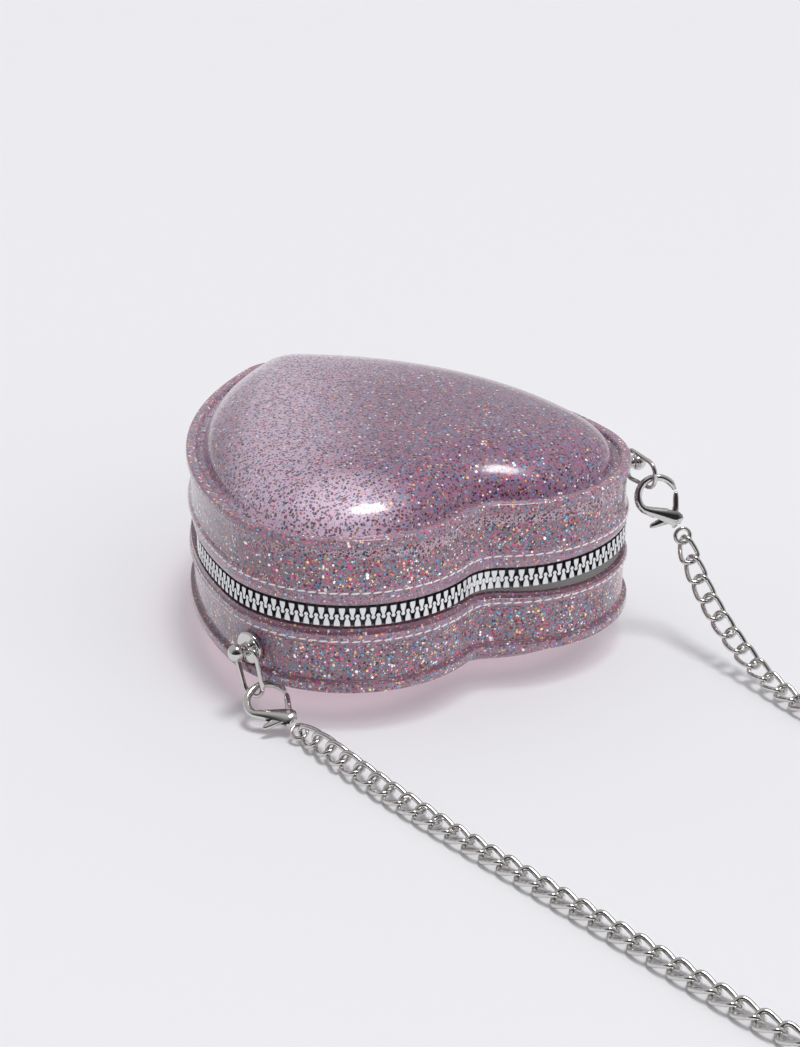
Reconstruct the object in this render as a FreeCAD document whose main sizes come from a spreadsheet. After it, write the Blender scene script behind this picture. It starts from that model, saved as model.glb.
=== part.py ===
import FreeCAD, Part
import Sketcher
import math
import os
from FreeCAD import Placement, Rotation, Vector

# Heart shaped purse: two moulded heart shells, a zip between them, two studs and a clip-on chain strap.
# The floor is Z = 0, the tip of the heart points to +Y and its cleft to -Y.

doc = FreeCAD.newDocument("heart_purse")
sheet = doc.addObject("Spreadsheet::Sheet", "sizes")

SIZES = (
    # heart outline at the lip, seen from above
    ("heart_width", 140.0),
    ("heart_length", 156.9),
    ("lobe_radius", 42.9),
    ("cleft_radius", 12.9),
    ("tip_radius", 15.5),
    ("flank_radius", 131.6),
    # shells, with heights from the middle plane of the zip
    ("rim_height", 25.8),
    ("dome_rise", 13.0),
    ("dome_centre_back", 12.0),
    ("dome_cleft_easing", 70.0),
    ("wall", 2.2),
    ("wall_step", 1.2),
    ("lip_width", 3.5),
    ("lip_height", 3.0),
    ("lip_stand", 1.5),
    ("groove_width", 2.6),
    ("edge_height", 5.0),
    ("band_height", 4.2),
    ("band_step", 0.3),
    # zip
    ("tape_clear", 0.1),
    ("tape_thick", 0.7),
    ("tape_height", 12.0),
    ("tape_edge", 1.3),
    ("tooth_pitch", 2.9),
    ("tooth_height", 3.1),
    ("tooth_reach", 0.95),
    ("tooth_thick", 3.5),
    ("stop_length", 2.2),
    ("stop_lift", 0.25),
    ("hinge_height", 11.0),
    ("hinge_gap", 1.2),
    ("hinge_thick", 1.0),
    # zip slider and pull tab
    ("slider_length", 11.0),
    ("slider_half_height", 4.5),
    ("slider_plate", 1.2),
    ("slider_clear", 0.4),
    ("slider_rail", 1.0),
    ("slider_post_width", 1.6),
    ("slider_post_length", 1.6),
    ("bridge_length", 8.4),
    ("bridge_width", 2.0),
    ("bridge_leg", 1.0),
    ("bridge_room", 2.2),
    ("bridge_top", 0.8),
    ("tab_length", 24.0),
    ("tab_width", 6.0),
    ("tab_thick", 1.2),
    ("tab_bar", 1.4),
    ("tab_window_length", 4.6),
    ("tab_window_width", 3.2),
    ("tab_hole_radius", 1.6),
    # studs
    ("stud_angle", 15.1),
    ("stud_height", 16.6),
    ("stud_base_radius", 5.2),
    ("stud_face_radius", 4.4),
    ("stud_base_thick", 2.0),
    ("stud_neck_radius", 2.1),
    ("stud_ball_radius", 2.8),
    ("stud_ball_height", 6.4),
    ("stud_eye_height", 3.2),
    ("stud_eye_radius", 1.0),
    ("screw_radius", 1.25),
    ("screw_head_radius", 2.8),
    ("screw_head_thick", 1.2),
    ("screw_depth", 1.4),
    ("screw_clear", 0.05),
    ("washer_radius", 4.0),
    ("washer_thick", 0.8),
    ("washer_seat", 0.3),
    # rings on the studs
    ("ring_wire_radius", 0.75),
    ("ring_half_bar", 5.0),
    ("ring_half_end", 3.2),
    ("ring_length", 15.0),
    ("ring_bar_corner", 1.8),
    ("ring_end_corner", 2.6),
    ("front_ring_lean", 18.0),
    ("rear_ring_turn", 75.0),
    ("rear_hook_drop", 1.0),
    # lobster clasps
    ("clasp_span", 21.5),
    ("clasp_thick", 3.2),
    ("clasp_hook_radius", 6.2),
    ("clasp_wire_radius", 1.15),
    ("clasp_eye_radius", 2.45),
    ("clasp_eye_wire", 0.65),
    ("clasp_slot", 1.9),
    ("clasp_lever_thick", 1.6),
    ("clasp_spring_thick", 1.3),
    ("clasp_pin_radius", 0.6),
    ("clasp_pin_clear", 0.03),
    ("hook_clear", 0.45),
    ("front_clasp_roll", 22.0),
    # chain
    ("link_wire_radius", 0.8),
    ("link_end_radius", 2.75),
    ("link_twist", 30.0),
    ("link_pitch", 7.0),
    ("link_play", 0.35),
    ("chain_floor", 2.5),
    ("coil_radius", 44.0),
    ("coil_inner_radius", 35.0),
    ("coil_lift", 3.0),
    ("coil_layer", 5.4),
    ("tie_thick", 0.4),
    ("tie_width", 5.0),
    ("tie_room", 0.5),
    # cuts run this far past the material
    ("overrun", 1.0),
)
for row, (alias, number) in enumerate(SIZES, 1):
    sheet.set("A%d" % row, alias)
    sheet.set("B%d" % row, str(number))
    sheet.setAlias("B%d" % row, alias)
doc.recompute()


def size(alias):
    return float(sheet.get(alias))


def bound(alias):
    return "sizes." + alias


# Dome profile from foot to crest: share of the foot's outline, share of the rise.
DOME_SHARES = ((1.0, 0.0), (0.97, 0.30), (0.89, 0.60), (0.75, 0.84), (0.57, 0.965), (0.36, 1.0))
# Half widths of a tooth as shares of the pitch, heights as shares of the tooth's height or reach.
TOOTH_BODY_SHARES = ((0.30, 1.0), (0.30, 0.90), (0.17, 0.31), (0.14, 0.11))
TOOTH_HEAD_SHARES = ((0.20, 0.21), (0.20, 0.63), (0.10, 1.0))
# Clasp outlines in its own plane, from the centre of its eye, as shares of the clasp's span.
CLASP_HOOK_CENTRE_SHARES = (-0.525, 0.51)
CLASP_BODY_SHARES = (
    (-0.76, 0.27), (-0.70, 0.36), (-0.57, 0.345), (-0.15, 0.40), (-0.08, 0.33),
    (-0.04, 0.14), (-0.11, 0.06), (-0.36, 0.14), (-0.66, 0.20),
)
CLASP_SLOT_SHARES = (
    (-0.50, -0.05), (-0.50, 0.235), (-0.325, 0.28), (-0.31, 0.48),
    (-0.02, 0.48), (-0.02, 0.22), (-0.16, 0.15), (-0.275, -0.05),
)
CLASP_LEVER_SHARES = (
    (-0.13, 0.30), (-0.215, 0.65), (-0.30, 0.635), (-0.23, 0.32), (-0.40, 0.19),
    (-0.54, 0.075), (-0.515, 0.0), (-0.36, 0.08), (-0.15, 0.20),
)
CLASP_SPRING_SHARES = ((-0.50, 0.20), (-0.385, 0.225), (-0.39, 0.24), (-0.50, 0.215))
CLASP_PIVOT_SHARES = (-0.18, 0.28)
# Where the tapes, the teeth and the parked slider end, as shares of the flank from lobe to tip.
TAPE_END_SHARE = 0.889
TOOTH_END_SHARE = 0.697
SLIDER_SHARE = 0.684
# Where the hook holds its ring, and where it ends at the lever, as angles round the hook.
FRONT_HOLD_ANGLE = 137.0
REAR_HOLD_ANGLE = 122.0
HOOK_TIP_ANGLE = 33.0
HOOK_ROOT_ANGLE = 228.0
# The way each clasp runs from its ring to its eye, and the way the rear clasp faces.
CLASP_RUN = {"front": Vector(0.227, -0.924, -0.297), "rear": Vector(0.333, -0.415, -0.845)}
REAR_CLASP_FACE = Vector(-0.451, -0.795, 0.405)

# Chain route in millimetres: from the front clasp over the floor to the coil, and on to the rear clasp.
FRONT_ROUTE = (
    (-62.8, -80.0, 4.5), (-61.0, -95.0, 4.0), (-57.8, -115.0, 3.0), (-52.6, -143.0, 2.5),
    (-46.2, -174.0, 2.5), (-41.4, -198.0, 2.5), (-36.0, -226.0, 2.5), (-31.2, -252.0, 2.5),
    (-24.0, -276.0, 2.5), (-8.0, -291.5, 2.5), (14.0, -298.0, 2.6), (36.0, -298.6, 2.8),
)
REAR_ROUTE = (
    (112.6, -236.0, 7.6), (107.0, -214.0, 5.0), (97.6, -192.0, 3.0), (87.4, -171.0, 2.6),
    (80.6, -150.0, 2.5), (78.4, -130.0, 2.8), (78.4, -112.0, 4.8), (77.9, -96.0, 11.4),
    (77.5, -84.0, 19.4), (77.4, -74.6, 28.9),
)
COIL_CENTRE = Vector(70.0, -255.0, 0)
COIL_START = 266.0
COIL_TURN = 814.0
ROUTE_STEP = 0.5
# The share of the shorter run that each bend of the route takes.
BEND_SHARE = 0.45
# The end links take this share of the roll that sets them square through the eyes, eased over some links.
EYE_ROLL_SHARE = 0.7
ROLL_LINKS = 10

NODES = []


def unit(vector):
    return Vector(vector).normalize()


def frame(origin, x_axis, z_axis):
    """A placement whose X and Z axes point the given ways."""
    z_way = unit(z_axis)
    y_way = unit(z_way.cross(x_axis))
    return Placement(origin, Rotation(y_way.cross(z_way), y_way, z_way, "ZXY"))


def keep(part, label):
    """Names a finished sub-part."""
    part.Label = label
    NODES.append(part)
    return part


def feature(label, shape):
    part = doc.addObject("Part::Feature", label)
    part.Shape = shape
    return keep(part, label)


def primitive(kind, name, place, **lengths):
    """A solid primitive whose lengths are expressions on the sheet."""
    solid = doc.addObject("Part::" + kind, name)
    for prop, expression in lengths.items():
        solid.setExpression(prop, expression)
    solid.Placement = place
    return solid


def block(name, place, corner, lengths):
    """A box from a corner, with its three lengths bound to the sheet."""
    box = primitive("Box", name, place, Length=lengths[0], Width=lengths[1], Height=lengths[2])
    box.Placement = place.multiply(Placement(corner, Rotation()))
    return box


def fuse(name, solids):
    joined = doc.addObject("Part::MultiFuse", name)
    joined.Shapes = solids
    return joined


def cut(name, solid, tool):
    less = doc.addObject("Part::Cut", name)
    less.Base = solid
    less.Tool = tool
    return less


# Heart outline: six tangent arcs, each a centre, a radius and two angles.
def heart_arcs(inset, share=1.0):
    width = (size("heart_width") - 2 * inset) * share
    length = (size("heart_length") - 2 * inset) * share
    lobe = (size("lobe_radius") - inset) * share
    tip = (size("tip_radius") - inset) * share
    flank = (size("flank_radius") - inset) * share
    cleft = (size("cleft_radius") + inset) * share + size("dome_cleft_easing") * (1 - share)
    middle = -size("dome_centre_back") * (1 - share)
    span = width / 2 - lobe
    low = middle + lobe - length / 2
    high = middle + length / 2 - tip
    notch = low - math.sqrt((cleft + lobe) ** 2 - span ** 2)
    turn = math.atan2(low - notch, span)
    gap = math.hypot(span, high - low)
    to_lobe = flank - lobe
    to_tip = flank - tip
    along = (to_lobe ** 2 - to_tip ** 2 + gap ** 2) / (2 * gap)
    aside = math.sqrt(to_lobe ** 2 - along ** 2)
    way = Vector(-span, high - low, 0) / gap
    centre = Vector(span, low, 0) + way * along + Vector(-way.y, way.x, 0) * aside
    seam = math.atan2(low - centre.y, span - centre.x)
    peak = math.atan2(high - centre.y, -centre.x)
    mirror = Vector(-centre.x, centre.y, 0)
    return (
        (Vector(span, low, 0), lobe, turn - math.pi, seam),
        (centre, flank, seam, peak),
        (Vector(0, high, 0), tip, peak, math.pi - peak),
        (mirror, flank, math.pi - peak, math.pi - seam),
        (Vector(-span, low, 0), lobe, math.pi - seam, 2 * math.pi - turn),
        (Vector(0, notch, 0), cleft, math.pi - turn, turn),
    )


def on_arc(centre, radius, angle, height=0):
    return Vector(centre.x + radius * math.cos(angle), centre.y + radius * math.sin(angle), height)


def heart_wire(inset, height, share=1.0):
    edges = []
    for centre, radius, start, end in heart_arcs(inset, share):
        points = [on_arc(centre, radius, a, height) for a in (start, (start + end) / 2, end)]
        edges.append(Part.Arc(*points).toShape())
    return Part.Wire(edges)


def heart_prism(inset, bottom, top):
    return Part.Face(heart_wire(inset, bottom)).extrude(Vector(0, 0, top - bottom))


def heart_ring(outer_inset, inner_inset, bottom, top):
    over = size("overrun")
    return heart_prism(outer_inset, bottom, top).cut(heart_prism(inner_inset, bottom - over, top + over))


def heart_dome(inset, base, rise):
    wires = [heart_wire(inset, base + rise * up, share) for share, up in DOME_SHARES]
    return Part.makeLoft(wires, True, False).common(heart_prism(0, base, base + rise))


mid = size("rim_height") + size("dome_rise")
inner_wall = size("wall_step") + size("wall")
tape_outer = inner_wall + size("tape_clear")
tape_inner = tape_outer + size("tape_thick")
tape_middle = (tape_outer + tape_inner) / 2
right_lobe, right_flank = heart_arcs(0)[0], heart_arcs(0)[1]


def flank_angle(share):
    return right_flank[2] + (right_flank[3] - right_flank[2]) * share


def raised(shape):
    """Moves a shape made about the zip's middle plane to its height above the floor."""
    return shape.translated(Vector(0, 0, mid))


def flipped(shape):
    return shape.mirror(Vector(0, 0, 0), Vector(0, 0, 1))


# Studs: one on the left lobe of the lower shell, one on the right lobe of the upper shell.
stud_turn = math.radians(size("stud_angle"))
STUD_OUT = {
    "front": Vector(-math.cos(stud_turn), -math.sin(stud_turn), 0),
    "rear": Vector(math.cos(stud_turn), -math.sin(stud_turn), 0),
}
STUD_SIDE = {"front": -1, "rear": 1}


def stud_seat(name):
    """The point on the wall's outer face that a stud's axis passes through."""
    side = STUD_SIDE[name]
    lobe_centre = Vector(side * right_lobe[0].x, right_lobe[0].y, mid + side * size("stud_height"))
    return lobe_centre + STUD_OUT[name] * (size("lobe_radius") - size("wall_step"))


lean = math.radians(size("front_ring_lean"))
front_along = STUD_OUT["front"].cross(Vector(0, 0, 1)) * -1
swing = math.radians(size("rear_ring_turn"))
rear_along = STUD_OUT["rear"].cross(Vector(0, 0, 1))
# The way each ring's bar runs through its stud, and the way its loop points.
RING_BAR = {
    "front": front_along * math.cos(lean) + Vector(0, 0, math.sin(lean)),
    "rear": Vector(0, 0, 1),
}
RING_WAY = {
    "front": front_along * math.sin(lean) - Vector(0, 0, math.cos(lean)),
    "rear": STUD_OUT["rear"] * math.cos(swing) + rear_along * math.sin(swing),
}


def stud_eye(name):
    return stud_seat(name) + STUD_OUT[name] * size("stud_eye_height")


# Shells
def shell_shape():
    rim = size("rim_height")
    edge = size("edge_height")
    over = size("overrun")
    groove = rim - size("lip_stand")
    foot = size("lip_width") + size("groove_width")
    rise = size("dome_rise") + size("lip_stand")
    band_top = edge + size("band_height")
    wall = size("wall")
    body = heart_prism(size("wall_step"), edge, groove)
    body = body.fuse(heart_ring(0, size("lip_width"), rim - size("lip_height"), rim))
    body = body.fuse(heart_dome(foot, groove, rise))
    body = body.cut(heart_ring(0, size("wall_step") + size("band_step"), edge - over, band_top))
    hollow = heart_prism(inner_wall, edge - over, groove - wall)
    hollow = hollow.fuse(heart_dome(foot + wall, groove - wall, rise))
    return body.cut(hollow)


def stud_hole(name):
    reach = size("wall") + size("overrun")
    start = stud_seat(name) - STUD_OUT[name] * reach
    radius = size("screw_radius") + size("screw_clear")
    return Part.makeCylinder(radius, 2 * reach, start, STUD_OUT[name])


half_shell = shell_shape()
feature("upper_shell", raised(half_shell).cut(stud_hole("rear")))
feature("lower_shell", raised(flipped(half_shell)).cut(stud_hole("front")))


# Zip tapes, sewn inside the walls, and the hinge strip that joins the shells round the tip
def tip_side(gap):
    """A block that holds what lies nearer the tip than the ends of the tapes."""
    limit = on_arc(right_flank[0], right_flank[1], flank_angle(TAPE_END_SHARE)).y + gap
    width = size("heart_width")
    corner = Vector(-width, limit, -width)
    return Part.makeBox(2 * width, size("heart_length"), 2 * width, corner)


tape_band = heart_ring(tape_outer, tape_inner, size("tape_edge"), size("tape_height")).cut(tip_side(0))
feature("upper_zip_tape", raised(tape_band))
feature("lower_zip_tape", raised(flipped(tape_band)))
strip_inner = tape_outer + size("hinge_thick")
strip = heart_ring(tape_outer, strip_inner, -size("hinge_height"), size("hinge_height"))
feature("hinge_strip", raised(strip.common(tip_side(size("hinge_gap")))))


# Zip teeth, walked along the tapes from the right flank round the lobes to the left flank
def zip_arcs():
    arcs = heart_arcs(tape_middle)
    end = flank_angle(TOOTH_END_SHARE)
    right, flank, _, left_flank, left, cleft = arcs
    return (
        (flank[0], flank[1], end, flank[2], 1),
        (right[0], right[1], right[3], right[2], 1),
        (cleft[0], cleft[1], cleft[3], cleft[2], -1),
        (left[0], left[1], left[3], left[2], 1),
        (left_flank[0], left_flank[1], left_flank[3], math.pi - end, 1),
    )


def arc_length(arc):
    return arc[1] * abs(arc[3] - arc[2])


def zip_place(distance):
    """Where the zip is at a distance from its closed end: X along it, Y out of the purse, Z up."""
    arcs = zip_arcs()
    for arc in arcs:
        if distance <= arc_length(arc) or arc is arcs[-1]:
            break
        distance -= arc_length(arc)
    centre, radius, start, end, bulge = arc
    angle = start + distance / radius * math.copysign(1, end - start)
    out = Vector(math.cos(angle), math.sin(angle), 0) * bulge
    return frame(on_arc(centre, radius, angle, mid), out.cross(Vector(0, 0, 1)), Vector(0, 0, 1))


def tooth_blank(points):
    """A tooth of the upper tape: an outline across the zip, slotted over the tape's edge."""
    thick = size("tooth_thick")
    half = thick / 2
    slot_half = size("tape_thick") / 2 + size("tape_clear")
    over = size("overrun")
    edge = size("tape_edge") - size("tape_clear")
    wide = size("tooth_pitch")
    corners = [Vector(x, half, z) for x, z in points]
    outline = Part.makePolygon(corners + corners[:1])
    blank = Part.Face(outline).extrude(Vector(0, -thick, 0))
    slot = Part.makeBox(2 * wide, 2 * slot_half, size("tooth_height") + over, Vector(-wide, -slot_half, edge))
    return blank.cut(slot)


def tooth_points():
    pitch = size("tooth_pitch")
    right = [(pitch * x, size("tooth_height") * z) for x, z in TOOTH_BODY_SHARES]
    right += [(pitch * x, -size("tooth_reach") * z) for x, z in TOOTH_HEAD_SHARES]
    return right + [(-x, z) for x, z in reversed(right)]


def stop_points():
    half = size("stop_length") / 2
    top = size("tooth_height")
    foot = size("stop_lift")
    return [(half, top), (half, foot), (-half, foot), (-half, top)]


def placed(shape, place):
    copy = shape.copy()
    copy.Placement = place
    return copy


zip_length = sum(arc_length(arc) for arc in zip_arcs())
flank_length = arc_length(zip_arcs()[0])
tooth_count = int(zip_length / size("tooth_pitch"))
stop_start = -((flank_angle(SLIDER_SHARE) - flank_angle(TOOTH_END_SHARE)) * zip_arcs()[0][1]
               + size("slider_length") / 2 + size("slider_clear") + size("stop_length") / 2)
for tape, lag_share in (("upper", 0.25), ("lower", 0.75)):
    blank = tooth_blank(tooth_points())
    stop = tooth_blank(stop_points())
    if tape == "lower":
        blank = flipped(blank)
        stop = flipped(stop)
    flank_teeth = []
    front_teeth = []
    for number in range(tooth_count):
        distance = (number + lag_share) * size("tooth_pitch")
        row = flank_teeth if distance < flank_length else front_teeth
        row.append(placed(blank, zip_place(distance)))
    feature(tape + "_flank_teeth", Part.makeCompound(flank_teeth))
    feature(tape + "_front_teeth", Part.makeCompound(front_teeth))
    ends = (stop_start, zip_length + size("stop_length"))
    feature(tape + "_zip_stops", Part.makeCompound([placed(stop, zip_place(end)) for end in ends]))


# Zip slider, parked at the closed end of the zip on the right flank
flank_centre = Vector(right_flank[0].x, right_flank[0].y, mid)
slider_turn = flank_angle(SLIDER_SHARE)
slider_out = Vector(math.cos(slider_turn), math.sin(slider_turn), 0)
slider_seat = flank_centre + slider_out * (size("flank_radius") - tape_middle)
slider_place = frame(slider_seat, slider_out.cross(Vector(0, 0, 1)), Vector(0, 0, 1))
plate_gap = size("tooth_thick") / 2 + size("slider_clear")
plate_out = plate_gap + size("slider_plate")
slot_face = size("tape_thick") / 2 + size("slider_clear")
half_length = size("slider_length") / 2
half_height = size("slider_half_height")
rail_foot = half_height - size("slider_rail")
rail_depth = "(%s - %s) / 2" % (bound("tooth_thick"), bound("tape_thick"))
full_height = "2 * " + bound("slider_half_height")
slider_solids = [
    block("outer_plate", slider_place, Vector(-half_length, plate_gap, -half_height),
          (bound("slider_length"), bound("slider_plate"), full_height)),
    block("inner_plate", slider_place, Vector(-half_length, -plate_out, -half_height),
          (bound("slider_length"), bound("slider_plate"), full_height)),
    block("slider_post", slider_place, Vector(-half_length, -plate_gap, -size("slider_post_width") / 2),
          (bound("slider_post_length"), "%s + 2 * %s" % (bound("tooth_thick"), bound("slider_clear")),
           bound("slider_post_width"))),
    block("bridge_bar", slider_place,
          Vector(-size("bridge_length") / 2, plate_out + size("bridge_room"), -size("bridge_width") / 2),
          (bound("bridge_length"), bound("bridge_top"), bound("bridge_width"))),
]
half_bridge = size("bridge_length") / 2
for end, start in (("front", half_bridge - size("bridge_leg")), ("back", -half_bridge)):
    slider_solids.append(block(
        "bridge_leg_" + end, slider_place, Vector(start, plate_out, -size("bridge_width") / 2),
        (bound("bridge_leg"), bound("bridge_room"), bound("bridge_width"))))
for level, foot in (("upper", rail_foot), ("lower", -half_height)):
    for face, start in (("outer", slot_face), ("inner", -plate_gap)):
        slider_solids.append(block(
            "%s_%s_rail" % (level, face), slider_place, Vector(-half_length, start, foot),
            (bound("slider_length"), rail_depth, bound("slider_rail"))))
keep(fuse("slider_body", slider_solids), "zip_slider")


# Pull tab: a padded plate with a window that goes round the slider's bridge
def plane_of(body, role):
    return [plane for plane in body.Origin.OriginFeatures if plane.Role == role][0]


def sketch_on(body, name):
    sketch = body.newObject("Sketcher::SketchObject", name)
    sketch.AttachmentSupport = [(plane_of(body, "XY_Plane"), "")]
    sketch.MapMode = "FlatFace"
    return sketch


def bind(sketch, constraint, expression):
    number = sketch.addConstraint(constraint)
    sketch.setExpression("Constraints[%d]" % number, expression)


def sketch_rectangle(sketch, left, right, width):
    """A rectangle across the X axis between two distances, each an expression, and a full width."""
    guess = (size("tab_bar"), size("tab_length"), size("tab_width") / 2)
    corners = [Vector(guess[0], -guess[2], 0), Vector(guess[1], -guess[2], 0),
               Vector(guess[1], guess[2], 0), Vector(guess[0], guess[2], 0)]
    first = sketch.GeometryCount
    for number in range(4):
        sketch.addGeometry(Part.LineSegment(corners[number], corners[(number + 1) % 4]), False)
    for number in range(4):
        sketch.addConstraint(Sketcher.Constraint("Coincident", first + number, 2, first + (number + 1) % 4, 1))
    for number, way in ((0, "Horizontal"), (2, "Horizontal"), (3, "Vertical")):
        sketch.addConstraint(Sketcher.Constraint(way, first + number))
    sketch.addConstraint(Sketcher.Constraint("Symmetric", first + 1, 1, first + 1, 2, -1))
    bind(sketch, Sketcher.Constraint("DistanceX", -1, 1, first, 1, guess[0]), left)
    bind(sketch, Sketcher.Constraint("DistanceX", -1, 1, first, 2, guess[1]), right)
    bind(sketch, Sketcher.Constraint("DistanceY", first + 1, 1, first + 1, 2, 2 * guess[2]), width)


def sketch_circle(sketch, radius, expression, centre=None):
    number = sketch.addGeometry(Part.Circle(Vector(0, 0, 0), Vector(0, 0, 1), radius), False)
    bind(sketch, Sketcher.Constraint("Radius", number, radius), expression)
    if centre:
        sketch.addConstraint(Sketcher.Constraint("PointOnObject", number, 3, -1))
        bind(sketch, Sketcher.Constraint("DistanceX", -1, 1, number, 3, radius), centre)
    else:
        sketch.addConstraint(Sketcher.Constraint("Coincident", number, 3, -1, 1))


def padded(body, sketch, name, thickness):
    pad = body.newObject("PartDesign::Pad", name)
    pad.Profile = sketch
    pad.setExpression("Length", thickness)
    return pad


def pocketed(body, sketch, name):
    pocket = body.newObject("PartDesign::Pocket", name)
    pocket.Profile = sketch
    pocket.Type = "ThroughAll"
    pocket.Midplane = True
    return pocket


tab_pivot = slider_seat + slider_out * (plate_out + size("bridge_room") / 2)
tab_body = doc.addObject("PartDesign::Body", "tab_body")
tab_outline = sketch_on(tab_body, "tab_outline")
bar_start = "-%s / 2" % bound("tab_bar")
sketch_rectangle(tab_outline, bar_start, bound("tab_length"), bound("tab_width"))
padded(tab_body, tab_outline, "tab_plate", bound("tab_thick"))
tab_cuts = sketch_on(tab_body, "tab_cuts")
sketch_rectangle(tab_cuts, "%s / 2" % bound("tab_bar"),
                 "%s / 2 + %s" % (bound("tab_bar"), bound("tab_window_length")), bound("tab_window_width"))
sketch_circle(tab_cuts, size("tab_hole_radius"), bound("tab_hole_radius"),
              "%s - %s / 2" % (bound("tab_length"), bound("tab_width")))
pocketed(tab_body, tab_cuts, "tab_openings")
tab_body.Placement = frame(tab_pivot - slider_out * (size("tab_thick") / 2),
                           slider_out.cross(Vector(0, 0, 1)), slider_out)
keep(tab_body, "pull_tab")


# Studs: a post with a ball head and a cross hole, a screw from inside and a washer
def stud_shapes(name):
    base = frame(stud_seat(name), RING_BAR[name], STUD_OUT[name])
    eye_place = base.multiply(Placement(Vector(-size("stud_base_radius"), 0, size("stud_eye_height")),
                                        Rotation(Vector(0, 1, 0), 90)))
    post = fuse(name + "_post_solid", [
        primitive("Cone", name + "_base", base, Radius1=bound("stud_base_radius"),
                  Radius2=bound("stud_face_radius"), Height=bound("stud_base_thick")),
        primitive("Cylinder", name + "_neck", base, Radius=bound("stud_neck_radius"),
                  Height=bound("stud_ball_height")),
        primitive("Sphere", name + "_ball",
                  base.multiply(Placement(Vector(0, 0, size("stud_ball_height")), Rotation())),
                  Radius=bound("stud_ball_radius")),
    ])
    eye = primitive("Cylinder", name + "_eye", eye_place, Radius=bound("stud_eye_radius"),
                    Height="2 * " + bound("stud_base_radius"))
    bore = primitive("Cylinder", name + "_bore",
                     base.multiply(Placement(Vector(0, 0, -size("overrun")), Rotation())),
                     Radius="%s + %s" % (bound("screw_radius"), bound("screw_clear")),
                     Height="%s + %s" % (bound("screw_depth"), bound("overrun")))
    keep(cut(name + "_post_cut", post, fuse(name + "_post_holes", [eye, bore])), name + "_stud_post")
    washer_face = size("wall") + size("washer_seat")
    washer_back = washer_face + size("washer_thick")
    washer = doc.addObject("PartDesign::Body", name + "_washer_body")
    rings = sketch_on(washer, name + "_washer_rings")
    sketch_circle(rings, size("washer_radius"), bound("washer_radius"))
    sketch_circle(rings, size("screw_radius"), "%s + %s" % (bound("screw_radius"), bound("screw_clear")))
    padded(washer, rings, name + "_washer_disc", bound("washer_thick"))
    washer.Placement = base.multiply(Placement(Vector(0, 0, -washer_back), Rotation()))
    keep(washer, name + "_stud_washer")
    head_back = washer_back + size("screw_head_thick")
    shank = "%s + %s + %s + %s - %s" % (bound("wall"), bound("washer_seat"), bound("washer_thick"),
                                       bound("screw_depth"), bound("screw_clear"))
    keep(fuse(name + "_screw_solid", [
        primitive("Cylinder", name + "_head", base.multiply(Placement(Vector(0, 0, -head_back), Rotation())),
                  Radius=bound("screw_head_radius"), Height=bound("screw_head_thick")),
        primitive("Cylinder", name + "_shank", base.multiply(Placement(Vector(0, 0, -washer_back), Rotation())),
                  Radius=bound("screw_radius"), Height=shank),
    ]), name + "_stud_screw")


for stud in ("front", "rear"):
    stud_shapes(stud)


# Bent wire: straight runs and arcs, each made as its own length and joined
def straight(start, end):
    return ("straight", start, end)


def bend(start, centre, axis, angle):
    return ("bend", start, centre, unit(axis), angle)


def wire_solid(lengths, radius):
    solids = []
    for length in lengths:
        if length[0] == "straight":
            run = length[2] - length[1]
            solids.append(Part.makeCylinder(radius, run.Length, length[1], run))
        else:
            _, start, centre, axis, angle = length
            way = axis.cross(start - centre)
            section = Part.Face(Part.Wire(Part.makeCircle(radius, start, way)))
            solids.append(section.revolve(centre, axis, angle))
    return solids[0].multiFuse(solids[1:]).removeSplitter()


def rounded_loop(points, radii):
    """A closed flat path of straight runs with rounded corners."""
    count = len(points)
    corners = []
    for number in range(count):
        point = points[number]
        back = unit(points[number - 1] - point)
        onward = unit(points[(number + 1) % count] - point)
        half = back.getAngle(onward) / 2
        reach = radii[number] / math.tan(half)
        centre = point + unit(back + onward) * (radii[number] / math.sin(half))
        start = point + back * reach
        end = point + onward * reach
        axis = (start - centre).cross(end - centre)
        corners.append((start, end, centre, axis, 180 - math.degrees(2 * half)))
    lengths = []
    for number, (start, end, centre, axis, angle) in enumerate(corners):
        lengths.append(bend(start, centre, axis, angle))
        lengths.append(straight(end, corners[(number + 1) % count][0]))
    return lengths


# Rings through the studs
def ring_shape():
    bar = size("ring_half_bar")
    end = size("ring_half_end")
    reach = -size("ring_length")
    points = (Vector(-bar, 0, 0), Vector(bar, 0, 0), Vector(end, reach, 0), Vector(-end, reach, 0))
    corner = size("ring_bar_corner")
    tip = size("ring_end_corner")
    return wire_solid(rounded_loop(points, (corner, corner, tip, tip)), size("ring_wire_radius"))


ring = ring_shape()
for name in ("front", "rear"):
    flat = RING_BAR[name].cross(RING_WAY[name] * -1)
    feature(name + "_ring", placed(ring, frame(stud_eye(name), RING_BAR[name], flat)))


# Lobster clasps
def clasp_point(shares, height=0):
    span = size("clasp_span")
    return Vector(shares[0] * span, shares[1] * span, height)


def clasp_plate(shares, thick):
    corners = [clasp_point(share, -thick / 2) for share in shares]
    return Part.Face(Part.makePolygon(corners + corners[:1])).extrude(Vector(0, 0, thick))


def hook_point(angle):
    centre = clasp_point(CLASP_HOOK_CENTRE_SHARES)
    return on_arc(centre, size("clasp_hook_radius"), math.radians(angle))


def clasp_bar(radius, thick):
    start = clasp_point(CLASP_PIVOT_SHARES, -thick / 2)
    return Part.makeCylinder(radius, thick, start)


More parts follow.
